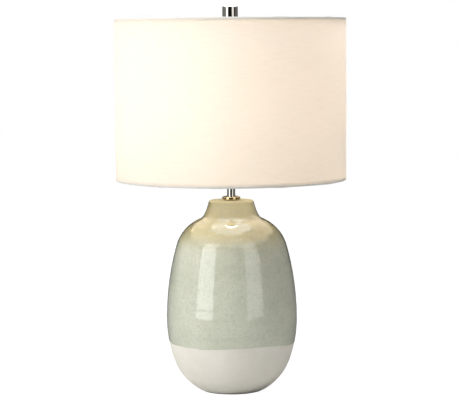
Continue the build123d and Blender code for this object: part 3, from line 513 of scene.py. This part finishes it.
def mesh_piece(name, points, quads, materials, material_rows=None, uv=None, attributes=None, crease=None,
               weld=False):
    """An object from an array of points and an array of quads, smooth except at edges sharper than crease."""
    mesh = bpy.data.meshes.new(name)
    mesh.vertices.add(len(points))
    mesh.vertices.foreach_set("co", np.ascontiguousarray(points, dtype=np.float32).ravel())
    mesh.loops.add(quads.size)
    mesh.loops.foreach_set("vertex_index", np.ascontiguousarray(quads, dtype=np.int32).ravel())
    mesh.polygons.add(len(quads))
    mesh.polygons.foreach_set("loop_start", np.arange(0, quads.size, 4, dtype=np.int32))
    for key, values in (attributes or {}).items():
        layer = mesh.attributes.new(key, "FLOAT", "POINT")
        layer.data.foreach_set("value", np.ascontiguousarray(values, dtype=np.float32).ravel())
    if uv is not None:
        layer = mesh.uv_layers.new(name="cloth")
        layer.data.foreach_set("uv", np.ascontiguousarray(uv, dtype=np.float32).ravel())
    for material in materials:
        mesh.materials.append(material)
    if material_rows is not None:
        mesh.polygons.foreach_set("material_index", np.ascontiguousarray(material_rows, dtype=np.int32))
    mesh.update(calc_edges=True)
    mesh.validate()
    if weld:
        weld_points(mesh)
    mesh.shade_smooth()
    if crease is not None:
        mesh.set_sharp_from_angle(angle=math.radians(crease))
    piece = bpy.data.objects.new(name, mesh)
    bpy.context.scene.collection.objects.link(piece)
    return piece


def around_axis(radius, height, angle):
    """Points at a radius, a height and an angle from the front: x follows its sine, y minus its cosine."""
    coordinates = (radius * np.sin(angle), -radius * np.cos(angle), height + 0 * angle)
    return np.stack(np.broadcast_arrays(*coordinates), -1)


def follow_arcs(start, heading, turns, steps):
    """Rows of (radius, height) along arcs that follow on smoothly.

    Each turn is (arc radius, degrees to the left). Its centre lies one radius to that side of the heading,
    and its points turn round the centre by even steps.
    """
    point = np.array(start)
    angle = math.radians(heading)
    rows = [point[None]]
    for radius, degrees in turns:
        side = math.copysign(radius, degrees)
        centre = point + side * np.array([-math.sin(angle), math.cos(angle)])
        spoke = point - centre
        swing = np.linspace(0, math.radians(degrees), steps + 1)[1:]
        rows.append(centre + np.stack([np.cos(swing) * spoke[0] - np.sin(swing) * spoke[1],
                                       np.sin(swing) * spoke[0] + np.cos(swing) * spoke[1]], -1))
        point = rows[-1][-1]
        angle += math.radians(degrees)
    return np.concatenate(rows)


def evenly(points, spacing):
    """The same line with its points set so far apart: one spacing for all, or one for each point."""
    lengths = np.linalg.norm(np.diff(points, axis=0), axis=1)
    spacing = np.broadcast_to(spacing, len(points))
    counts = np.concatenate([[0], np.cumsum(lengths * 2 / (spacing[1:] + spacing[:-1]))])
    wanted = np.linspace(0, counts[-1], max(2, int(round(counts[-1])) + 1))
    return np.stack([np.interp(wanted, counts, points[:, axis]) for axis in range(2)], -1)


def line_normals(points):
    """Unit normals to the left of a line's direction of travel."""
    along = np.gradient(points, axis=0)
    along /= np.linalg.norm(along, axis=1, keepdims=True)
    return np.stack([-along[:, 1], along[:, 0]], -1)


# ------------------------------------------------------------------ jar

# The outside wall, from the belly up and from the belly down: (arc radius, degrees to the left).
UPPER_ARCS = [(451.2 * MM, 15.6), (68.0 * MM, 51.4), (15.9 * MM, -41.0), (92.0 * MM, -13.9), (3.0 * MM, 77.9)]
LOWER_ARCS = [(208.3 * MM, -19.2), (90.8 * MM, -42.7), (2.0 * MM, -28.1)]
ARC_STEPS = 120
JAR_WALL = 6.0 * MM
JAR_END_WALL = 7.0 * MM
JAR_CORNER = 2.0 * MM
FOOT_RING_WIDTH = 12.0 * MM
FOOT_RECESS_DEPTH = 9.0 * MM
ROD_HOLE_RADIUS = 5.35 * MM

JAR_COLUMNS = 336
OUTSIDE_SPACING = 2.0 * MM
GLAZE_EDGE_SPACING = 0.7 * MM
GLAZE_EDGE_REACH = 12.0 * MM
HIDDEN_SPACING = 6.0 * MM
JAR_CREASE_DEGREES = 40

# The glaze's lower edge: its mean height, its three-fold sway, and (waves round the jar, how high, phase).
GLAZE_LINE = 83.0 * MM
GLAZE_LINE_SWAY = 1.9 * MM
GLAZE_LINE_TURN = 0.33
GLAZE_LINE_WAVES = [(1, 0.7 * MM, 2.4), (5, 0.45 * MM, -0.9), (9, 0.3 * MM, 2.2), (17, 0.2 * MM, 0.0)]

# The glaze is this thick. It falls to the bare clay by a step, with a thicker roll just above it.
GLAZE_THICKNESS = 0.35 * MM
GLAZE_STEP = 0.28 * MM
GLAZE_ROLL_ABOVE = 2.5 * MM
GLAZE_ROLL_WIDTH = 1.8 * MM
DEEP_IN_ONE_FINISH = 10.0 * MM

# Throwing marks on the outside wall, which fade out at the rim and the foot.
FINE_RING_DEPTH = 0.03 * MM
FINE_RING_PITCH = 8.5 * MM
BROAD_RING_DEPTH = 0.06 * MM
BROAD_RING_PITCH = 21.0 * MM
LUMPS = 40
LUMP_MILLIMETRES = 0.36
LUMP_SEED = 11
TOP_FADE = 6.0 * MM
FOOT_FADE = 8.0 * MM

CORD_HOLE_RADIUS = 5.3 * MM
CORD_HOLE_CENTRE = np.array([0.0, 80.0, 27.9]) * MM
CORD_HOLE_AXIS = np.array([0.0, 0.788, -0.616])
CORD_HOLE_REACH = 11.0 * MM
CORD_HOLE_SIDES = 48
CORD_HOLE_TURN = 0.03


def glaze_line(angle):
    """Height of the glaze's lower edge: three long waves round the jar, and smaller sine waves on them."""
    line = GLAZE_LINE + GLAZE_LINE_SWAY * np.cos(3 * (angle - GLAZE_LINE_TURN))
    for waves, high, phase in GLAZE_LINE_WAVES:
        line = line + high * np.sin(waves * angle + phase)
    return line


def hand_thrown(angle, height):
    """How far the wall stands out of true: a sum of waves round and up the jar.

    The throwing rings are short waves up the wall that climb a little round it. The lumps are longer waves
    both ways, at random phases.
    """
    dice = np.random.default_rng(LUMP_SEED)
    circle = 2 * math.pi
    out = FINE_RING_DEPTH * np.sin(circle * height / FINE_RING_PITCH + angle + 1.2 * np.sin(2 * angle))
    out = out + BROAD_RING_DEPTH * np.sin(
        circle * height / BROAD_RING_PITCH - angle + 0.9 * np.sin(3 * angle + 1))
    for _ in range(LUMPS):
        round_waves = dice.integers(4, 56)
        up_waves = dice.uniform(-70, 70)
        depth = dice.uniform(0.5, 1.0) * LUMP_MILLIMETRES * MM / (12 + round_waves)
        phase = dice.uniform(0, 6.28)
        out = out + depth * np.cos(round_waves * angle + circle * up_waves * height + phase)
    return out


def jar_outline():
    """The jar's closed half-section, and how many of its points, from the rim down, are the outside wall.

    The outside is two runs of arcs from the belly. The inside is the same line set in by the wall, cut off
    at the floor and the ceiling. A recess under the floor leaves the foot ring.
    """
    foot_z = JAR_LOW[2]
    fall = follow_arcs((BELLY_RADIUS, 0), -90, LOWER_ARCS, ARC_STEPS)
    belly = (BELLY_RADIUS, foot_z - fall[-1, 1])
    lower = fall + (0, belly[1])
    upper = follow_arcs(belly, 90, UPPER_ARCS, ARC_STEPS)
    outside = np.concatenate([upper[::-1], lower[1:]])
    near_line = np.exp(-((outside[:, 1] - GLAZE_LINE) / GLAZE_EDGE_REACH) ** 4)
    outside = evenly(outside, OUTSIDE_SPACING + (GLAZE_EDGE_SPACING - OUTSIDE_SPACING) * near_line)

    inside = outside - JAR_WALL * line_normals(outside)
    ceiling = JAR_HIGH[2] - JAR_END_WALL
    roof = foot_z + FOOT_RECESS_DEPTH
    floor = roof + JAR_END_WALL
    between = (inside[:, 1] < ceiling - JAR_CORNER) & (inside[:, 1] > floor + JAR_CORNER)
    inside = evenly(inside[between][::-1], HIDDEN_SPACING)
    recess = outside[-1, 0] - FOOT_RING_WIDTH
    under = np.array([(recess, foot_z), (recess, roof), (BELLY_RADIUS / 5, roof), (ROD_HOLE_RADIUS, roof),
                      (ROD_HOLE_RADIUS, floor), (BELLY_RADIUS / 4, floor), (inside[0, 0] - JAR_WALL, floor)])
    top = np.array([(inside[-1, 0] - JAR_WALL / 2, ceiling), (ROD_HOLE_RADIUS, ceiling),
                    (ROD_HOLE_RADIUS, JAR_HIGH[2]), (outside[0, 0] * 0.6, JAR_HIGH[2])])
    return np.concatenate([outside, under, inside, top]), len(outside)


def bore_cord_hole(jar):
    """Takes a round bar out of the back wall: rows of points on circles along the bushing's axis.

    Its two end rows have no radius, so they close the bar. A slight turn keeps its edges off the jar's.
    """
    across = np.array([1.0, 0.0, 0.0])
    upward = np.cross(CORD_HOLE_AXIS, across)
    turn = CORD_HOLE_TURN + np.linspace(0, 2 * math.pi, CORD_HOLE_SIDES, endpoint=False)[None, :, None]
    reach = np.array([-1, -1, 1, 1])[:, None, None] * CORD_HOLE_REACH
    radius = np.array([0, 1, 1, 0])[:, None, None] * CORD_HOLE_RADIUS
    rim = np.cos(turn) * across + np.sin(turn) * upward
    points = CORD_HOLE_CENTRE + reach * CORD_HOLE_AXIS + radius * rim
    quads = grid_faces(4, CORD_HOLE_SIDES, False, True).reshape(-1, 4)[:, ::-1]
    bar = mesh_piece("bar", points.reshape(-1, 3), quads, [], weld=True)
    cut = jar.modifiers.new("cord_hole", "BOOLEAN")
    cut.operation = "DIFFERENCE"
    cut.solver = "EXACT"
    cut.object = bar
    now = bpy.context.evaluated_depsgraph_get()
    bored = bpy.data.meshes.new_from_object(jar.evaluated_get(now), preserve_all_data_layers=True,
                                            depsgraph=now)
    jar.modifiers.clear()
    jar.data = bored
    jar.data.set_sharp_from_angle(angle=math.radians(JAR_CREASE_DEGREES))
    bpy.data.objects.remove(bar)


def make_jar():
    """The outline turned about the axis, with the outside wall moved out by the throwing marks and glaze.

    The bare clay lies one glaze thickness in, and the step between the two follows a logistic curve, with a
    bell-shaped roll of glaze just above it.
    """
    outline, outside_count = jar_outline()
    outside = (np.arange(len(outline)) < outside_count)[:, None]
    normal = line_normals(outline)
    angle = np.linspace(-math.pi, math.pi, JAR_COLUMNS, endpoint=False)[None, :]
    radius = outline[:, 0:1]
    height = outline[:, 1:2]
    above = height - glaze_line(angle)
    roll = GLAZE_THICKNESS * 0.5 * np.exp(-((above - GLAZE_ROLL_ABOVE) / GLAZE_ROLL_WIDTH) ** 2)
    glaze = GLAZE_THICKNESS * (1 / (1 + np.exp(-above / GLAZE_STEP)) - 1) + roll
    top_fade = np.clip((JAR_HIGH[2] - height) / TOP_FADE, 0, 1)
    foot_fade = np.clip((height - JAR_LOW[2]) / FOOT_FADE, 0, 1)
    shift = outside * (hand_thrown(angle, height) * top_fade * foot_fade + glaze * foot_fade)
    points = around_axis(radius + shift * normal[:, 0:1], height + shift * normal[:, 1:2], angle)
    quads = grid_faces(len(outline), JAR_COLUMNS, True, True).reshape(-1, 4)
    hidden = np.where(height > GLAZE_LINE * 2, DEEP_IN_ONE_FINISH, -DEEP_IN_ONE_FINISH)
    far_above = np.where(outside, above, hidden) + 0 * angle
    jar = mesh_piece("jar_body", points.reshape(-1, 3), quads, [glazed_stoneware()],
                     attributes={"above_glaze_line": far_above}, crease=JAR_CREASE_DEGREES)
    bore_cord_hole(jar)
    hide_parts("jar")
    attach(jar, "base")


# ------------------------------------------------------------------ shade

CLOTH_COLUMNS = 420
BACKING_ROWS = 24
FOLD_STEPS = 14
WALL_STEPS = 60
HEM_STEPS = 5
SHEET_CREASE_DEGREES = 50
HEM_WAVES = [(11, 0.35 * MM, 0.0), (23, 0.25 * MM, 1.0)]


def cloth_section(inset):
    """The cloth's line over both rings, as (radius, height) rows, set in from the outer face.

    It runs up the turned-in hem, over the top ring in a half circle, down the wall, round the lower ring in
    another half circle, and up the other hem.
    """
    fold = HEM_FOLD_RADIUS - inset
    middle = SHADE_RADIUS - HEM_FOLD_RADIUS
    over = np.linspace(math.pi, 0, FOLD_STEPS)
    under = np.linspace(0, -math.pi, FOLD_STEPS)
    hem = np.full(HEM_STEPS, middle - fold)
    wall_z = np.linspace(TOP_RING_Z, LOW_RING_Z, WALL_STEPS)[1:-1]
    parts = [
        np.stack([hem, np.linspace(TOP_RING_Z - HEM_TURN_IN, TOP_RING_Z, HEM_STEPS)], -1)[:-1],
        np.stack([middle + fold * np.cos(over), TOP_RING_Z + fold * np.sin(over)], -1),
        np.stack([np.full(len(wall_z), middle + fold), wall_z], -1),
        np.stack([middle + fold * np.cos(under), LOW_RING_Z + fold * np.sin(under)], -1),
        np.stack([hem, np.linspace(LOW_RING_Z, LOW_RING_Z + HEM_TURN_IN, HEM_STEPS)], -1)[1:],
    ]
    return np.concatenate(parts)


def hem_wander(section, angle):
    """Lets the cut edges of both hems run a little up and down: two sine waves of under a millimetre."""
    upper = np.clip((TOP_RING_Z - section[:, 1]) / HEM_TURN_IN, 0, 1)
    lower = np.clip((section[:, 1] - LOW_RING_Z) / HEM_TURN_IN, 0, 1)
    on_hem = section[:, 0] < SHADE_RADIUS - HEM_FOLD_RADIUS
    wave = sum(high * np.sin(waves * angle + phase) for waves, high, phase in HEM_WAVES)
    return ((on_hem * upper)[:, None] - (on_hem * lower)[:, None]) * wave


def make_cloth():
    """The section carried round the drum, past a full turn, so that its end laps over its start at the back.

    Over the lap the cloth is lifted off along its own normal by one thickness, by a smooth step. Its outer
    face and its inner face are two such surfaces, joined along the hems' cut edges and at both ends.
    """
    outer = cloth_section(0)
    inner = cloth_section(CLOTH_THICKNESS)
    travel = np.linspace(0, 2 * math.pi + LAP_ANGLE, CLOTH_COLUMNS)
    angle = (math.pi - LAP_ANGLE / 2 + travel)[None, :]
    into_lap = np.clip(((travel - 2 * math.pi) * SHADE_RADIUS + LAP_SLOPE) / LAP_SLOPE, 0, 1)
    lift = LAP_LIFT * into_lap ** 2 * (3 - 2 * into_lap)
    normal = line_normals(outer)
    faces = []
    for section in (outer, inner):
        radius = section[:, 0:1] + normal[:, 0:1] * lift
        height = section[:, 1:2] + normal[:, 1:2] * lift + hem_wander(section, angle)
        faces.append(around_axis(radius, height, angle))
    loop = np.concatenate([faces[0], faces[1][::-1]])
    rows, columns = loop.shape[:2]
    count = len(outer)

    line = np.concatenate([[0], np.cumsum(np.linalg.norm(np.diff(outer, axis=0), axis=1))])
    skin = grid_faces(rows, columns, True, False).reshape(-1, 4)
    skin_uv = unrolled(travel * SHADE_RADIUS, np.concatenate([line, line[::-1], line[:1]])).reshape(-1, 4, 2)
    inner_face = np.zeros((rows, columns - 1), dtype=np.int32)
    inner_face[count:rows - 1] = 1
    row = np.arange(count - 1)
    end = np.stack([row, row + 1, rows - 2 - row, rows - 1 - row], -1) * columns
    quads = np.concatenate([skin, end[:, ::-1], end + columns - 1])
    uv = np.concatenate([skin_uv, np.zeros((2 * len(end), 4, 2))])
    kinds = np.concatenate([inner_face.ravel(), np.zeros(2 * len(end), dtype=np.int32)])
    cloth = mesh_piece("shade_cloth", loop.reshape(-1, 3), quads,
                       [slubbed_linen(), bonded_face("cloth_back")], kinds, uv, crease=SHEET_CREASE_DEGREES)
    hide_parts("shade_fabric")
    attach(cloth, "shade")


def make_backing():
    """A thin closed drum wall inside the cloth: its section runs up the outer face and down the inner."""
    outer = SHADE_RADIUS - CLOTH_THICKNESS - LAYER_GAP
    inner = outer - BACKING_THICKNESS + LAYER_GAP
    angle = np.linspace(0, 2 * math.pi, CLOTH_COLUMNS, endpoint=False)[None, :]
    up = np.linspace(LOW_RING_Z, TOP_RING_Z, BACKING_ROWS)
    radius = np.repeat([outer, inner], BACKING_ROWS)[:, None]
    height = np.concatenate([up, up[::-1]])
    points = around_axis(radius, height[:, None], angle)
    quads = grid_faces(2 * BACKING_ROWS, CLOTH_COLUMNS, True, True)
    glued = np.zeros(quads.shape[:2], dtype=np.int32)
    glued[:BACKING_ROWS - 1] = 1
    uv = unrolled(np.linspace(0, 2 * math.pi, CLOTH_COLUMNS + 1) * SHADE_RADIUS, np.append(height, height[0]))
    backing = mesh_piece("shade_backing_sheet", points.reshape(-1, 3), quads.reshape(-1, 4)[:, ::-1],
                         [shade_backing(), bonded_face("backing_back")], glued.ravel(),
                         uv.reshape(-1, 4, 2)[:, ::-1], crease=SHEET_CREASE_DEGREES)
    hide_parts("shade_liner")
    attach(backing, "shade")


# ------------------------------------------------------------------ felt

FELT_COLUMNS = 180
FELT_EDGE_STEPS = 9
FELT_RINGS = 13
FELT_WAVER = 0.003
FELT_CREASE_DEGREES = 60


def make_felt():
    """A disc of felt with a half-round edge whose radius wavers by two sine waves, as cut by hand."""
    radius = FELT_HIGH[0]
    thick = FELT_HIGH[2] - FELT_LOW[2]
    bend = np.linspace(-math.pi / 2, math.pi / 2, FELT_EDGE_STEPS)
    edge = np.stack([radius - thick / 2 + thick / 2 * np.cos(bend), thick / 2 + thick / 2 * np.sin(bend)], -1)
    inward = np.linspace(1, 0, FELT_RINGS + 1)[1:]
    lower = np.stack([edge[0, 0] * inward, np.full(FELT_RINGS, FELT_LOW[2])], -1)
    upper = np.stack([edge[-1, 0] * inward, np.full(FELT_RINGS, FELT_HIGH[2])], -1)
    section = np.concatenate([lower[::-1], edge, upper])
    angle = np.linspace(-math.pi, math.pi, FELT_COLUMNS, endpoint=False)[None, :]
    waver = 1 + FELT_WAVER * (np.sin(7 * angle) + np.sin(12 * angle + 1)) - 2 * FELT_WAVER
    points = around_axis(section[:, 0:1] * waver, section[:, 1:2], angle)
    quads = grid_faces(len(section), FELT_COLUMNS, False, True).reshape(-1, 4)[:, ::-1]
    felt = mesh_piece("foot_felt", points.reshape(-1, 3), quads, [felt_cloth()], crease=FELT_CREASE_DEGREES,
                      weld=True)
    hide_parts("felt_pad")
    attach(felt, "base")


# ------------------------------------------------------------------ finishes on the CAD nodes

def finish_nodes():
    """Gives every node that still shows its finish."""
    nickel = polished_metal("polished_nickel", paint(224, 219, 210), 0.05)
    # Painted reflection: the collar's nickel is tinted warm for the warm bulb light that it reflects.
    nickel_painted_warm_reflection = polished_metal("nickel_painted_warm_reflection", paint(226, 203, 160), 0.06)
    harp_nickel = polished_metal("harp_nickel", paint(205, 202, 196), 0.16, 0.08)
    socket_nickel = polished_metal("socket_nickel", paint(200, 196, 188), 0.2, 0.08)
    brass = polished_metal("brass", paint(205, 170, 100), 0.22, 0.1)
    zinc = plated_metal("zinc_steel", paint(178, 181, 184), 0.38)
    cap_metal = plated_metal("bulb_cap_metal", paint(196, 196, 194), 0.3, 0.1)
    rubber = moulded_plastic("black_rubber", paint(30, 30, 30), 0.75, 900, 0.03 * MM)
    phenolic = moulded_plastic("phenolic", paint(34, 29, 27), 0.3)
    bulb_plastic = moulded_plastic("bulb_white_plastic", paint(236, 234, 228), 0.35)
    white_wire = moulded_plastic("white_wire", paint(238, 236, 230), 0.35, 400, 0.02 * MM)
    nodes_by_finish = [
        (nickel, ["stem_sleeve", "finial_body"]),
        (nickel_painted_warm_reflection, ["neck_collar"]),
        (harp_nickel, ["harp_saddle", "harp_bow", "ferrule_right", "ferrule_left", "harp_stud"]),
        (socket_nickel, ["socket_cap", "socket_shell", "socket_set_screw"]),
        (brass, ["screw_shell", "centre_contact", "switch_shaft", "terminal_screws", "finial_insert",
                 "bulb_tip"]),
        (zinc, ["bottom_washer", "bottom_nut", "threaded_rod"]),
        (cap_metal, ["bulb_screw_cap"]),
        (rubber, ["neck_gasket"]),
        (phenolic, ["socket_body", "switch_knob", "bulb_insulator"]),
        (insulating_card(), ["socket_liner"]),
        (bulb_plastic, ["bulb_housing"]),
        (frosted_cover(), ["bulb_globe"]),
        (clear_grommet(), ["cord_bushing"]),
        (white_wire, ["top_ring", "bottom_ring", "spider_hub", "spider_arms"]),
    ]
    for finish, names in nodes_by_finish:
        for name in names:
            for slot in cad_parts[name].material_slots:
                slot.material = finish


# ------------------------------------------------------------------ studio

WHITE = (1.0, 1.0, 1.0)
FILL = 0.2
FLOOR_HALF = 9.0
FLOOR_TONE = (0.9, 0.9, 0.9)
MIRRORED_FLOOR_TONE = (0.2, 0.2, 0.2)
FLOOR_GLOW = 1.2
FLOOR_GLOW_SHARE = 0.8

# Dark and grey cards round the set: the angles that each spans from the front, and how bright it is.
CARD_DISTANCE = 3.6
CARD_LOW = -0.2
CARD_TOP = 2.6
CARD_COLUMNS = 12
STUDIO_CARDS = [
    ("card_front", -66, 56, 0.01),
    ("card_left", -100, -66, 0.18),
    ("card_left_rear", -118, -100, 0.35),
    ("card_left_back", -180, -118, 0.03),
    ("card_right", 56, 84, 0.04),
    ("card_right_rear", 84, 150, 0.16),
    ("card_right_back", 150, 180, 0.02),
]

# Area lamps: degrees from the front, distance, height of the middle, tilt from facing down, width, height,
# how bright it looks, and which rays don't see it. The last two only show in the glaze and the metal.
UPRIGHT = 90
SOFTBOXES = [
    ("key", -56, 2.5, 2.05, UPRIGHT, 1.6, 1.8, 7.5, "glossy"),
    ("top", 0, 0, 2.4, 0, 3.0, 3.0, 1.6, None),
    ("low", -60, 1.4, 0.52, UPRIGHT, 0.5, 0.4, 2.5, "glossy"),
    ("softbox_left", -47.7, 1.5, 0.72, UPRIGHT, 0.82, 1.42, 2.05, "diffuse"),
    ("softbox_right", 40.8, 1.5, 0.72, UPRIGHT, 0.78, 1.42, 1.08, "diffuse"),
]


def make_world():
    """White to the camera and in reflections, and a plain pale fill for everything that it lights."""
    world = bpy.data.worlds.new("studio")
    bpy.context.scene.world = world
    f = Finish("studio", world)
    camera = f.node("ShaderNodeLightPath", result="Is Camera Ray")
    mirror_or_glass = f.largest(f.also(camera, "Is Glossy Ray"), f.also(camera, "Is Transmission Ray"))
    fill = f.node("ShaderNodeBackground", {}, {"Color": WHITE, "Strength": FILL})
    white = f.node("ShaderNodeBackground", {}, {"Color": WHITE, "Strength": 1.0})
    f.shown(f.mixed(f.largest(camera, mirror_or_glass), fill, white))


def floor_finish():
    """Pale floor that the camera sees nearly white, with a faint shadow, and sees through from below."""
    f = Finish("floor")
    camera = f.node("ShaderNodeLightPath", result="Is Camera Ray")
    tone = f.between(f.also(camera, "Is Glossy Ray"), FLOOR_TONE, MIRRORED_FLOOR_TONE)
    matt = f.node("ShaderNodeBsdfDiffuse", {}, {"Color": tone})
    white = f.node("ShaderNodeEmission", {}, {"Color": WHITE, "Strength": FLOOR_GLOW})
    top = f.mixed(camera * FLOOR_GLOW_SHARE, matt, white)
    below = f.node("ShaderNodeNewGeometry", result="Backfacing")
    return f.shown(f.mixed(below, top, f.node("ShaderNodeBsdfTransparent")))


def card_finish(name, tone):
    """A card of an even grey that needs no light."""
    f = Finish(name)
    return f.shown(f.node("ShaderNodeEmission", {}, {"Color": (tone, tone, tone), "Strength": 1.0}))


def make_floor():
    """A flat square under the lamp."""
    corners = np.array([(-1, -1, 0), (1, -1, 0), (1, 1, 0), (-1, 1, 0)]) * FLOOR_HALF
    floor = mesh_piece("floor", corners, np.array([[0, 1, 2, 3]]), [floor_finish()])


def make_card(name, from_degrees, to_degrees, tone):
    """An upright card on a circle round the lamp, which only reflections see."""
    angle = np.radians(np.linspace(from_degrees, to_degrees, CARD_COLUMNS))[None, :]
    height = np.array([CARD_LOW, CARD_TOP])[:, None]
    points = around_axis(CARD_DISTANCE, height, angle).reshape(-1, 3)
    quads = grid_faces(2, CARD_COLUMNS, False, False).reshape(-1, 4)
    card = mesh_piece(name, points, quads, [card_finish(name, tone)])
    for ray in ("camera", "diffuse", "transmission", "shadow", "volume_scatter"):
        setattr(card, "visible_" + ray, False)


def make_softbox(name, degrees, distance, middle_z, tilt, width, height, radiance, unseen_by):
    """A flat lamp turned to the axis. Its power is pi times its area times how bright it looks."""
    lamp = bpy.data.objects.new(name, bpy.data.lights.new(name, "AREA"))
    lamp.data.shape = "RECTANGLE"
    lamp.data.size = width
    lamp.data.size_y = height
    lamp.data.energy = radiance * math.pi * width * height
    turn = math.radians(degrees)
    lamp.location = (distance * math.sin(turn), -distance * math.cos(turn), middle_z)
    lamp.rotation_euler = (math.radians(tilt), 0, turn)
    lamp.visible_camera = False
    if unseen_by:
        setattr(lamp, "visible_" + unseen_by, False)
    bpy.context.scene.collection.objects.link(lamp)


def make_studio():
    """The world, the floor, the cards and the lamps, seen through the plain Standard view."""
    make_world()
    make_floor()
    for card in STUDIO_CARDS:
        make_card(*card)
    for softbox in SOFTBOXES:
        make_softbox(*softbox)
    bpy.context.scene.view_settings.view_transform = "Standard"


make_camera()
make_studio()
make_jar()
make_cloth()
make_backing()
make_felt()
finish_nodes()
